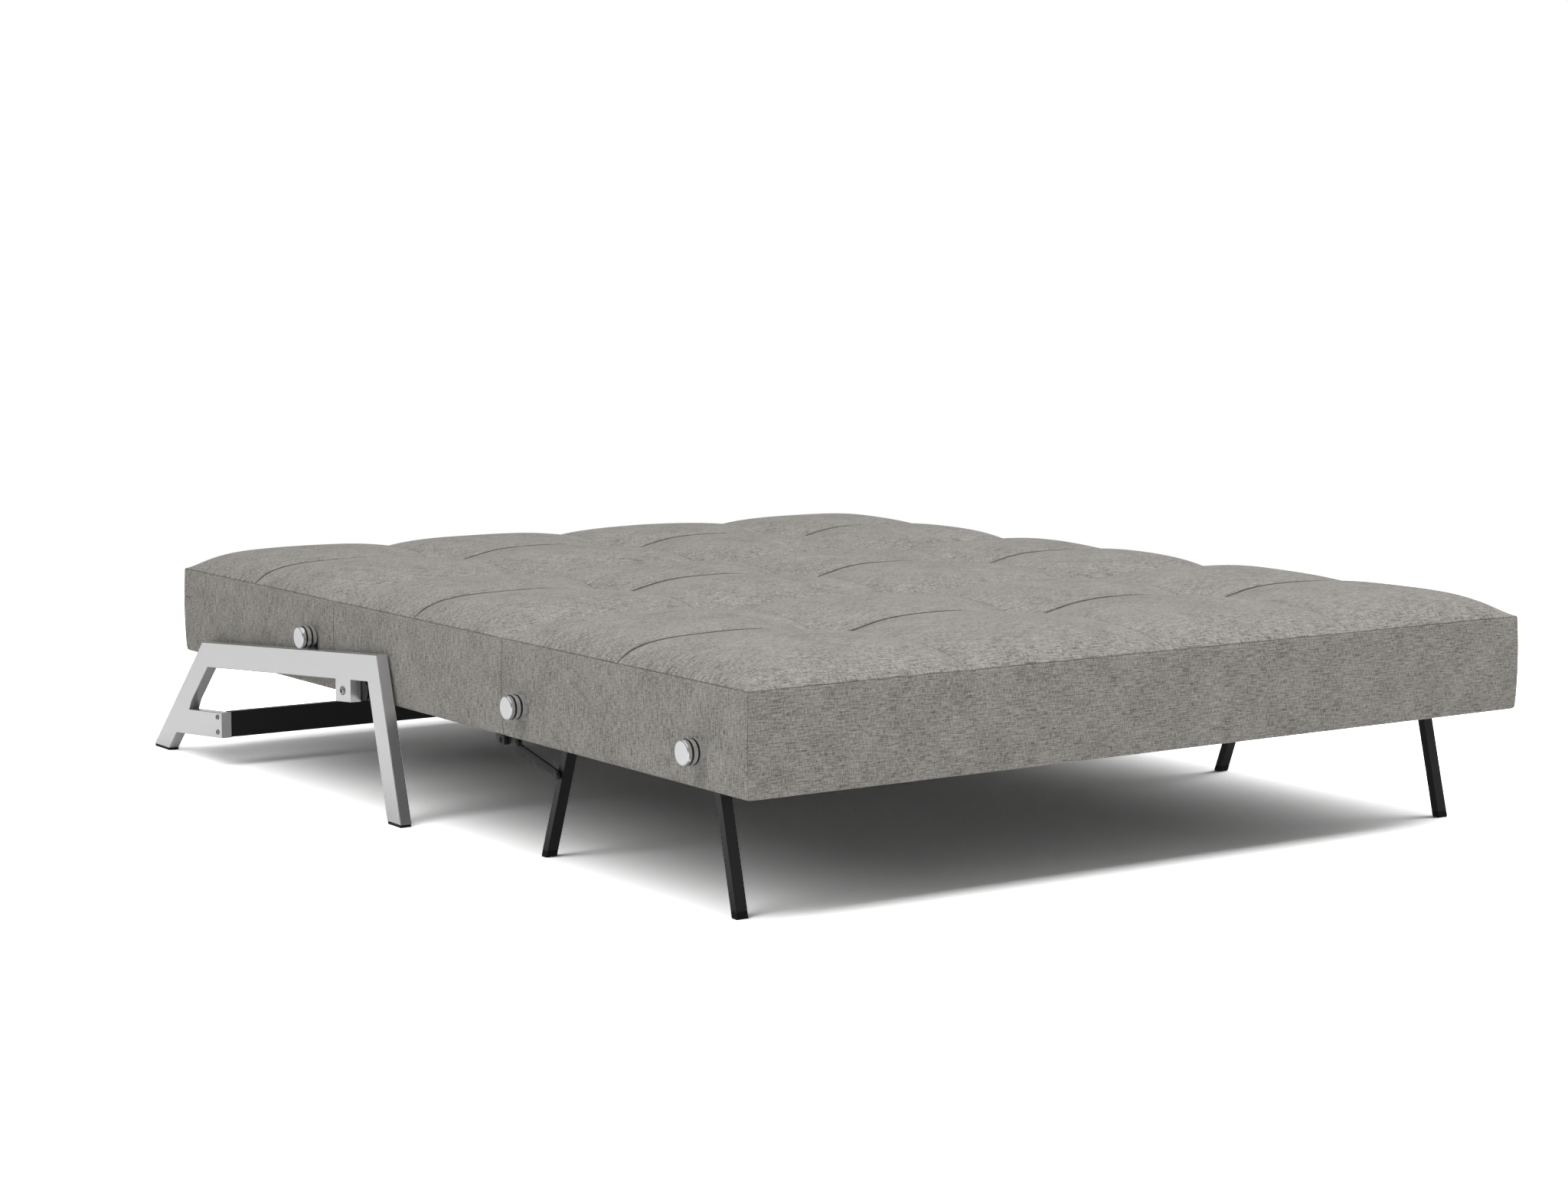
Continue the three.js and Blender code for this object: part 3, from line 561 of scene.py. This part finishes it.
def stay(side_name, side):
    """Flat bar from the rear leg's stud up to the bracket, set across so that it ends farther out."""
    span_y, span_z = STAY_BOLT[0] - STAY_STUD[0], STAY_BOLT[1] - STAY_STUD[1]
    length, half = math.hypot(span_y, span_z), STAY_WIDTH / 2
    along_y, along_z = span_y / length, span_z / length
    ends = [half * math.cos(math.radians(turn)) for turn in STAY_END_TURNS]
    places = [-end for end in ends] + [length * i / STAY_STEPS for i in range(1, STAY_STEPS)]
    places += [length + end for end in reversed(ends)]
    vertices = []
    for place in places:
        beyond = max(-place, place - length, 0)
        reach = math.sqrt(half ** 2 - beyond ** 2)
        share = min(1, max(0, (place - half) / (length - 2 * half)))
        inner = STAY_FOOT + (STAY_TOP - STAY_FOOT) * share
        outer = inner + STAY_THICKNESS
        for x, up in ((outer, reach), (outer, -reach), (inner, -reach), (inner, reach)):
            vertices.append((side * x, STAY_STUD[0] + along_y * place - along_z * up,
                             STAY_STUD[1] + along_z * place + along_y * up))
    bar = mesh_object("bar", vertices, skin(len(places), 4, side < 0), BLACK)
    break_edges(bar, STAY_EDGE_BREAK)
    face = STAY_FOOT + STAY_THICKNESS
    head = disc("head", STAY_STUD, STAY_HEAD_RADIUS, (face, face + STAY_HEAD_HEIGHT), side)
    merged_piece(f"stay_bar_{side_name}", f"stay_link_{side_name}", "stays", [bar, head])


# Upholstered sections. The seam across lies in the middle of each, and three seams run along it.

SEAM_ABOVE_BOTTOM = 155.6 * MM
SIDE_BULGE = 2.0 * MM
SIDE_INSET = 0.2 * MM
CROWN = 45 * MM
PUFFS_ACROSS = 4
PUFFS_ALONG = 2
EDGE_ROLL_ACROSS = 34 * MM
EDGE_ROLL_ALONG = 38 * MM
EDGE_ROLL_POWER = 0.95
SEAM_DIP = 6 * MM
SEAM_SPREAD = 50 * MM
SEAM_DIP_AT_SIDE = 5 * MM
SEAM_DIP_AT_END = 14 * MM
SEAM_DIP_REACH = 220 * MM
TUFT_DIP = 25 * MM
TUFT_SPREAD = 60 * MM
CREASE_DEPTH = 2.2 * MM
CREASE_WIDTH = 4.0 * MM
CREASE_STEP = 1.6 * MM
CREASE_STEP_REACH = 24 * MM
CREASE_ROLL_GAIN = 4
LENGTH_CREASE_DEPTH = 1.2 * MM
PUCKER_DEPTH = 1.1 * MM
PUCKER_COUNT = 9
PUCKER_REACH = 34 * MM
PUCKER_BAND_SHARE = 0.6
UNEVENNESS = 1.4 * MM
UNEVEN_PER_METRE = 7
UNEVEN_PER_SECTION = 3.7
GRID_SPACING = 18 * MM
GRID_OFFSETS = [offset * MM for offset in (0, 0.9, 1.8, 3.0, 5.0, 8, 12, 18, 26, 37, 52, 70, 90)]

# Painted shade in the sewn creases and seams: its level, its width and place across a crease, and how it fades
# at tufts and crossings.
CREASE_PAINTED_SHADE = 0.72
LENGTH_CREASE_SHADE_SHARE = 0.4
CREASE_SHADE_WIDTH = 1.5 * MM
CREASE_SHADE_OFFSET = 1.2 * MM
TUFT_SHADE_FADE = 14 * MM
CROSSING_SHADE_FADE = 30 * MM
SEAM_PAINTED_SHADE = 0.6
END_SEAM_PAINTED_SHADE = 0.7

FREE_CORNER = 4.5 * MM
JOINED_CORNER = 2.5 * MM
FREE_PINCH = 0.8 * MM
JOINED_PINCH = 0.3 * MM
SEAM_GROOVE = 1.0 * MM
SEAM_SINK = 0.4 * MM
END_SEAM_LEVEL = 54.9 * MM
END_SEAM_GROOVE = 0.9 * MM
END_SEAM_TURN = 30 * MM
WALL_LEVELS = [level * MM for level in (1.6, 3.4, 6, 14, 28, 45, 54)] + [END_SEAM_LEVEL]
WALL_LEVELS += [level * MM for level in (55.8, 66, 84, 104, 124, 138)]
END_SEAM_ROW = WALL_LEVELS.index(END_SEAM_LEVEL)
BOTTOM_RADIUS = 7 * MM
BOTTOM_STEPS = 5
RIM_DROP = 7.0 * MM
RIM_WIDTH = 21 * MM
RIM_SLOPE = 2 * MM
END_REACH = {"seat": (3.0 * MM, 1.6 * MM), "middle": (1.6 * MM, 8.0 * MM), "back": (8.0 * MM, 5.0 * MM)}
JOINED = {"seat": (False, True), "middle": (True, True), "back": (True, False)}
TOP_WEAVE_SHIFT = 3
SIDE_WEAVE_SHIFT = 5
BASE_WEAVE_SHIFT = 7


def grid_lines(half, cells):
    """Places of the grid lines from -half to half, close together at every seam and at the edges."""
    cell = 2 * half / cells
    gap = cell - 2 * GRID_OFFSETS[-1]
    count = max(1, round(gap / GRID_SPACING))
    spread = [GRID_OFFSETS[-1] + gap * i / count for i in range(1, count)]
    within = GRID_OFFSETS + spread + [cell - offset for offset in reversed(GRID_OFFSETS)][:-1]
    return [-half + c * cell + offset for c in range(cells) for offset in within] + [half]


def rounded(x, y, half_x, half_y, radius):
    """Moves a point of the square outline onto the rounded one."""
    dx, dy = abs(x) - (half_x - radius), abs(y) - (half_y - radius)
    if dx <= 0 or dy <= 0:
        return x, y
    pull = max(dx, dy) / math.hypot(dx, dy)
    return math.copysign(half_x - radius + dx * pull, x), math.copysign(half_y - radius + dy * pull, y)


def edge_roll(distance, scale):
    """How far the top has risen from its edge, from 0 to 1."""
    return 1 - math.exp(-(distance / scale) ** EDGE_ROLL_POWER)


def top_height(x, y, half_x, half_y, seed):
    """Height above the side seam: rolled edges, puffs, tufts with small puckers, and the sewn creases."""
    to_side, to_end = half_x - abs(x), half_y - abs(y)
    roll = edge_roll(to_side, EDGE_ROLL_ACROSS) * edge_roll(to_end, EDGE_ROLL_ALONG)
    puff = 2 * half_x / PUFFS_ACROSS
    deep = SEAM_DIP + SEAM_DIP_AT_SIDE * math.exp(-to_side / SEAM_DIP_REACH)
    dip = deep * math.exp(-abs(y) / SEAM_SPREAD)
    crease = CREASE_DEPTH * math.exp(-abs(y) / CREASE_WIDTH)
    nearest = half_x
    deep = SEAM_DIP + SEAM_DIP_AT_END * math.exp(-to_end / SEAM_DIP_REACH)
    for line in range(1, PUFFS_ACROSS):
        away = x + half_x - line * puff
        distance = math.hypot(away, y)
        nearest = min(nearest, distance)
        dip = max(dip, deep * math.exp(-abs(away) / SEAM_SPREAD))
        dip += TUFT_DIP * math.exp(-(distance / TUFT_SPREAD) ** 2 / 2)
        crease = max(crease, LENGTH_CREASE_DEPTH * math.exp(-abs(away) / CREASE_WIDTH))
        fold = math.exp(-((distance - PUCKER_REACH) / (PUCKER_BAND_SHARE * PUCKER_REACH)) ** 2)
        dip += PUCKER_DEPTH * fold * math.cos(PUCKER_COUNT * math.atan2(y, away) + seed + line)
    if y > 0:
        crease -= CREASE_STEP * math.exp(-y / CREASE_STEP_REACH) * min(1, nearest / TUFT_SPREAD)
    place = Vector((x * UNEVEN_PER_METRE, y * UNEVEN_PER_METRE, seed * UNEVEN_PER_SECTION))
    return (CROWN - dip + UNEVENNESS * noise.noise(place)) * roll - crease * min(1, CREASE_ROLL_GAIN * roll)


def painted_crease_shade(x, y, half_x):
    """How much painted shade darkens the cover along the sewn creases at a point of the top."""
    puff = 2 * half_x / PUFFS_ACROSS
    nearest = min(abs(x + half_x - line * puff) for line in range(1, PUFFS_ACROSS))
    across = math.exp(-((y - CREASE_SHADE_OFFSET) / CREASE_SHADE_WIDTH) ** 2)
    across *= min(1, nearest / TUFT_SHADE_FADE)
    along = math.exp(-(nearest / CREASE_SHADE_WIDTH) ** 2) * min(1, abs(y) / CROSSING_SHADE_FADE)
    return CREASE_PAINTED_SHADE * max(across, LENGTH_CREASE_SHADE_SHARE * along)


class Cover:
    """The mesh of one upholstered section, on a grid of lines around the section's middle."""

    def __init__(self, name, seed, end_seam):
        low, high = (Vector(corner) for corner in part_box(f"{name}_cushion"))
        low.y -= END_REACH[name][0]
        high.y += END_REACH[name][1]
        self.half_x = (high.x - low.x) / 2 - SIDE_INSET
        self.half_y = (high.y - low.y) / 2 - SIDE_INSET
        self.middle = ((low.x + high.x) / 2, (low.y + high.y) / 2)
        self.bottom, self.seam_z = low.z, low.z + SEAM_ABOVE_BOTTOM
        self.xs, self.ys = grid_lines(self.half_x, PUFFS_ACROSS), grid_lines(self.half_y, PUFFS_ALONG)
        self.joined_front, self.joined_rear = JOINED[name]
        self.seed, self.end_seam = seed, end_seam
        self.vertices, self.shades, self.faces, self.weave = [], [], [], []

    def joined(self, y):
        """Whether another section follows at the end that this point is nearer to."""
        return self.joined_rear if y > 0 else self.joined_front

    def on_outline(self, i, j):
        """The grid point's place, moved in at the rounded corners."""
        x, y = self.xs[i], self.ys[j]
        return rounded(x, y, self.half_x, self.half_y, JOINED_CORNER if self.joined(y) else FREE_CORNER)

    def vertex(self, x, y, z, shade=0.0):
        self.vertices.append((self.middle[0] + x, self.middle[1] + y, z))
        self.shades.append(shade)
        return len(self.vertices) - 1

    def face(self, corners, weave):
        """Adds a face, with the place in the weave of each of its corners."""
        self.faces.append(corners)
        self.weave.extend(weave)

    def grid_faces(self, points, corners, shift):
        """Faces over all the cells of the grid."""
        for i in range(len(self.xs) - 1):
            for j in range(len(self.ys) - 1):
                cell = [(i + a, j + b) for a, b in corners]
                self.face([points[c] for c in cell], [(self.xs[a] + shift, self.ys[b]) for a, b in cell])

    def add_top(self):
        """The padded top, whose outermost points lie in the groove of the side seam."""
        points = {}
        last_i, last_j = len(self.xs) - 1, len(self.ys) - 1
        for i, x in enumerate(self.xs):
            for j, y in enumerate(self.ys):
                px, py = self.on_outline(i, j)
                # The outermost points sit in the side seam's groove and get painted shade there; the others get
                # the creases' painted shade.
                z, shade = self.seam_z - SEAM_SINK, SEAM_PAINTED_SHADE
                if i in (0, last_i) or j in (0, last_j):
                    px, py = px * (1 - SEAM_GROOVE / self.half_x), py * (1 - SEAM_GROOVE / self.half_y)
                else:
                    z = self.seam_z + top_height(x, y, self.half_x, self.half_y, self.seed)
                    shade = painted_crease_shade(x, y, self.half_x)
                points[i, j] = self.vertex(px, py, z, shade)
        self.grid_faces(points, ((0, 0), (1, 0), (1, 1), (0, 1)), TOP_WEAVE_SHIFT * self.seed)
        return points

    def rim(self):
        """Grid points around the outline, counter-clockwise from the front left corner."""
        last_i, last_j = len(self.xs) - 1, len(self.ys) - 1
        front_and_right = [(i, 0) for i in range(last_i)] + [(last_i, j) for j in range(last_j)]
        return front_and_right + [(last_i - i, last_j - j) for i, j in front_and_right]

    def wall_rows(self):
        """Levels of the side panels, each with how far it stands out, down to the base."""
        rows = [(self.seam_z - level, SIDE_BULGE * math.sin(math.pi * level / SEAM_ABOVE_BOTTOM))
                for level in WALL_LEVELS]
        rim_z = self.bottom - RIM_DROP
        for step in range(1, BOTTOM_STEPS + 1):
            turn = step / BOTTOM_STEPS * math.pi / 2
            rows.append((rim_z + BOTTOM_RADIUS * (1 - math.sin(turn)), -BOTTOM_RADIUS * (1 - math.cos(turn))))
        return rows + [(rim_z, RIM_SLOPE - RIM_WIDTH), (self.bottom, -RIM_WIDTH)]

    def wall_vertex(self, i, j, row, rows):
        """A point of a side panel, pinched in at the corner seams, and plain where the next section follows."""
        z, out = rows[row]
        joined, shade = self.joined(self.ys[j]), 0.0
        # Painted shade darkens the corner seams and the end seam's groove.
        if i in (0, len(self.xs) - 1) and j in (0, len(self.ys) - 1):
            out -= JOINED_PINCH if joined else FREE_PINCH
            shade = SEAM_PAINTED_SHADE
        if self.end_seam and row == END_SEAM_ROW and self.ys[j] > self.half_y - END_SEAM_TURN:
            out -= END_SEAM_GROOVE
            shade = END_SEAM_PAINTED_SHADE
        out_y = 0 if joined and row < len(rows) - 2 else out
        px, py = self.on_outline(i, j)
        return self.vertex(px * (1 + out / self.half_x), py * (1 + out_y / self.half_y), z, shade)

    def add_walls(self, top):
        """The side panels from the top's outermost points down; their lowest points go to the base."""
        rim, rows = self.rim(), self.wall_rows()
        loops = [[top[place] for place in rim]]
        loops += [[self.wall_vertex(i, j, row, rows) for i, j in rim] for row in range(len(rows))]
        heights = [self.seam_z] + [z for z, _ in rows]
        shift = SIDE_WEAVE_SHIFT * self.seed
        for k, (i, j) in enumerate(rim):
            after = (k + 1) % len(rim)
            next_i, next_j = rim[after]
            for row in range(len(rows)):
                corners = [loops[row][k], loops[row + 1][k], loops[row + 1][after], loops[row][after]]
                places = [(i, j, row), (i, j, row + 1), (next_i, next_j, row + 1), (next_i, next_j, row)]
                if j == next_j:
                    self.face(corners, [(self.xs[a] + shift, heights[c]) for a, _, c in places])
                else:
                    self.face(corners, [(heights[c], self.ys[b] + shift) for _, b, c in places])
        return dict(zip(rim, loops[-1]))

    def add_base(self, points):
        """The flat underside, inside the lowest points of the walls."""
        shrink_x, shrink_y = 1 - RIM_WIDTH / self.half_x, 1 - RIM_WIDTH / self.half_y
        for i, x in list(enumerate(self.xs))[1:-1]:
            for j, y in list(enumerate(self.ys))[1:-1]:
                points[i, j] = self.vertex(x * shrink_x, y * shrink_y, self.bottom)
        self.grid_faces(points, ((0, 0), (0, 1), (1, 1), (1, 0)), BASE_WEAVE_SHIFT * self.seed)


def cushion(name, body, seed, end_seam=False):
    """One upholstered section: padded top, side panels with corner seams, and a rounded lower edge."""
    cover = Cover(name, seed, end_seam)
    cover.add_base(cover.add_walls(cover.add_top()))
    piece = mesh_object(f"{name}_upholstery", cover.vertices, cover.faces, FABRIC)
    weave = piece.data.uv_layers.new(name="weave")
    weave.data.foreach_set("uv", np.array(cover.weave, dtype=np.float32).ravel())
    # Painted shade for each point, by which the fabric's material darkens the weave.
    seam = piece.data.attributes.new("seam", "FLOAT", "POINT")
    seam.data.foreach_set("value", np.array(cover.shades, dtype=np.float32))
    smooth = piece.modifiers.new("smooth", "SUBSURF")
    smooth.levels = smooth.render_levels = 1
    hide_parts(f"{name}_cushion")
    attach(piece, body)


# Stage, light and camera. Greys for the camera, for reflections and for the floor's own light are set apart.

FLOOR_SEEN = 2.9
FLOOR_LIT = 0.90
FLOOR_REACH = 9.0
FLOOR_MIRRORED = 1.15
# Painted reflection: strength of a glow that stands in for the shaded floor under the bed, seen only by glossy
# rays.
UNDER_BED_PAINTED_GLOW = 0.24
UNDER_START_SHARE = 0.88
UNDER_END_SHARE = 1.0
FADE_START = 2.4
FADE_END = 4.2

AMBIENT = 0.15
HORIZON_GLOSS = (0.0, 0.62)
ZENITH_GLOSS = (0.8, 1.0)
DARK_BAND = ((0.18, 0.60), (0.30, 0.10), (0.60, 0.12))

KEY_HEIGHT = 12.0
KEY_FORWARD = 3.5
KEY_SIZE = (60.0, 9.0)
KEY_RADIANCE = 2.65

CAMERA_PLACE = (-3.35193, -4.91260, 1.04967)
CAMERA_PITCH = 0.1176
CAMERA_YAW = -0.5958
CAMERA_LENS = 73.87
CAMERA_SENSOR = 36
CAMERA_CLIP_END = 200


def floor_material():
    """White to the camera out of the shadow, a painted glow of plain grey in reflections under the bed, and
    white far away.
    """
    material, _, add, link = new_material("white_floor")
    path = add("ShaderNodeLightPath")
    place = add("ShaderNodeTexCoord")

    footprint = add("ShaderNodeVectorMath", operation="DIVIDE")
    link(place, "Object", footprint, 0)
    footprint.inputs[1].default_value = (cad_high[0], cad_high[1], 1)
    sides = add("ShaderNodeVectorMath", operation="ABSOLUTE")
    link(footprint, "Vector", sides, 0)
    parts = add("ShaderNodeSeparateXYZ")
    link(sides, "Vector", parts, "Vector")
    outermost = add("ShaderNodeMath", operation="MAXIMUM")
    link(parts, "X", outermost, 0)
    link(parts, "Y", outermost, 1)
    inside = add("ShaderNodeMapRange", interpolation_type="SMOOTHSTEP", **{
        "From Min": UNDER_START_SHARE, "From Max": UNDER_END_SHARE, "To Min": 1, "To Max": 0})
    link(outermost, "Value", inside, "Value")
    under = add("ShaderNodeMath", operation="MULTIPLY")
    link(inside, "Result", under, 0)
    link(path, "Is Glossy Ray", under, 1)

    glossy = add("ShaderNodeMix", data_type="RGBA", A=opaque(FLOOR_LIT), B=opaque(FLOOR_MIRRORED))
    link(path, "Is Glossy Ray", glossy, "Factor")
    tone = add("ShaderNodeMix", data_type="RGBA", B=opaque(FLOOR_SEEN))
    link(glossy, "Result", tone, "A")
    link(path, "Is Camera Ray", tone, "Factor")
    matte = add("ShaderNodeBsdfDiffuse")
    link(tone, "Result", matte, "Color")
    # Painted reflection: under the bed, glossy rays see a plain grey glow in place of the shaded floor.
    shadow = add("ShaderNodeEmission", Strength=UNDER_BED_PAINTED_GLOW)
    near = add("ShaderNodeMixShader")
    link(under, "Value", near, "Fac")
    link(matte, "BSDF", near, 1)
    link(shadow, "Emission", near, 2)

    distance = add("ShaderNodeVectorMath", operation="LENGTH")
    link(place, "Object", distance, 0)
    fade = add("ShaderNodeMapRange", interpolation_type="SMOOTHSTEP", **{
        "From Min": FADE_START, "From Max": FADE_END})
    link(distance, "Value", fade, "Value")
    seen = add("ShaderNodeMath", operation="MAXIMUM")
    link(path, "Is Camera Ray", seen, 0)
    link(path, "Is Glossy Ray", seen, 1)
    share = add("ShaderNodeMath", operation="MULTIPLY")
    link(fade, "Result", share, 0)
    link(seen, "Value", share, 1)
    white = add("ShaderNodeEmission", Strength=1.0)
    blend = add("ShaderNodeMixShader")
    link(share, "Value", blend, "Fac")
    link(near, "Shader", blend, 1)
    link(white, "Emission", blend, 2)
    link(blend, "Shader", material.node_tree.nodes["Material Output"], "Surface")
    return material


def stage():
    corners = [(-FLOOR_REACH, -FLOOR_REACH), (FLOOR_REACH, -FLOOR_REACH),
               (FLOOR_REACH, FLOOR_REACH), (-FLOOR_REACH, FLOOR_REACH)]
    mesh = bpy.data.meshes.new("studio_floor")
    mesh.from_pydata([(x, y, 0) for x, y in corners], [], [(0, 1, 2, 3)])
    mesh.materials.append(floor_material())
    floor = bpy.data.objects.new("studio_floor", mesh)
    bpy.context.scene.collection.objects.link(floor)


def world():
    """White to the camera, a grey studio with a dark band for reflections, and a little fill for the rest."""
    scene_world = bpy.data.worlds.new("studio")
    bpy.context.scene.world = scene_world
    scene_world.use_nodes = True
    scene_world.node_tree.nodes.clear()
    add, link = tree_tools(scene_world.node_tree)
    output = add("ShaderNodeOutputWorld")
    path = add("ShaderNodeLightPath")
    fill = add("ShaderNodeBackground", Color=opaque(1.0), Strength=AMBIENT)
    seen = add("ShaderNodeBackground", Color=opaque(1.0), Strength=1.0)
    studio = add("ShaderNodeBackground", Color=opaque(1.0), Strength=1.0)
    direction = add("ShaderNodeTexCoord")
    parts = add("ShaderNodeSeparateXYZ")
    link(direction, "Generated", parts, "Vector")
    ramp = add("ShaderNodeValToRGB")
    set_stops(ramp, HORIZON_GLOSS, ZENITH_GLOSS, *DARK_BAND)
    link(parts, "Z", ramp, "Fac")
    link(ramp, "Color", studio, "Color")
    glossy = add("ShaderNodeMixShader")
    link(path, "Is Glossy Ray", glossy, "Fac")
    link(fill, "Background", glossy, 1)
    link(studio, "Background", glossy, 2)
    mix = add("ShaderNodeMixShader")
    link(path, "Is Camera Ray", mix, "Fac")
    link(glossy, "Shader", mix, 1)
    link(seen, "Background", mix, 2)
    link(mix, "Shader", output, "Surface")


def key_light():
    """One soft box high over the front edge, very wide and less deep, for the soft shadow of the picture."""
    data = bpy.data.lights.new("soft_box", "AREA")
    data.shape = "RECTANGLE"
    data.size, data.size_y = KEY_SIZE
    data.energy = KEY_RADIANCE * math.pi * KEY_SIZE[0] * KEY_SIZE[1]
    lamp = bpy.data.objects.new("soft_box", data)
    bpy.context.scene.collection.objects.link(lamp)
    lamp.visible_glossy = False
    lamp.location = (0, -KEY_FORWARD, KEY_HEIGHT)
    lamp.rotation_euler = (-math.atan2(KEY_FORWARD, KEY_HEIGHT), 0, 0)


def camera():
    data = bpy.data.cameras.new("camera")
    data.sensor_width = CAMERA_SENSOR
    data.lens = CAMERA_LENS
    data.clip_end = CAMERA_CLIP_END
    eye = bpy.data.objects.new("camera", data)
    eye.location = CAMERA_PLACE
    eye.rotation_euler = (math.pi / 2 - CAMERA_PITCH, 0, CAMERA_YAW)
    bpy.context.scene.collection.objects.link(eye)
    bpy.context.scene.camera = eye


# Assembly

finish_cad_nodes()
for side_name, sign in SIDES:
    middle_bracket(side_name, sign)
    seat_bracket(side_name, sign)
    stay(side_name, sign)
    back_bracket(side_name, sign)
    for end in ("front", "rear"):
        knob(f"seat_knob_{end}_{side_name}", sign, "seat_section")
    knob(f"back_knob_{side_name}", sign, "back_section")
    for row_name in ("lower", "upper"):
        screw(f"cross_bar_screw_{row_name}_{side_name}", sign, "frame")
    screw(f"lug_bolt_{side_name}", sign, "frame")
cushion("seat", "seat_section", 1)
cushion("middle", "middle_section", 2)
cushion("back", "back_section", 3, end_seam=True)

stage()
world()
key_light()
camera()
bpy.context.scene.view_settings.view_transform = "Standard"
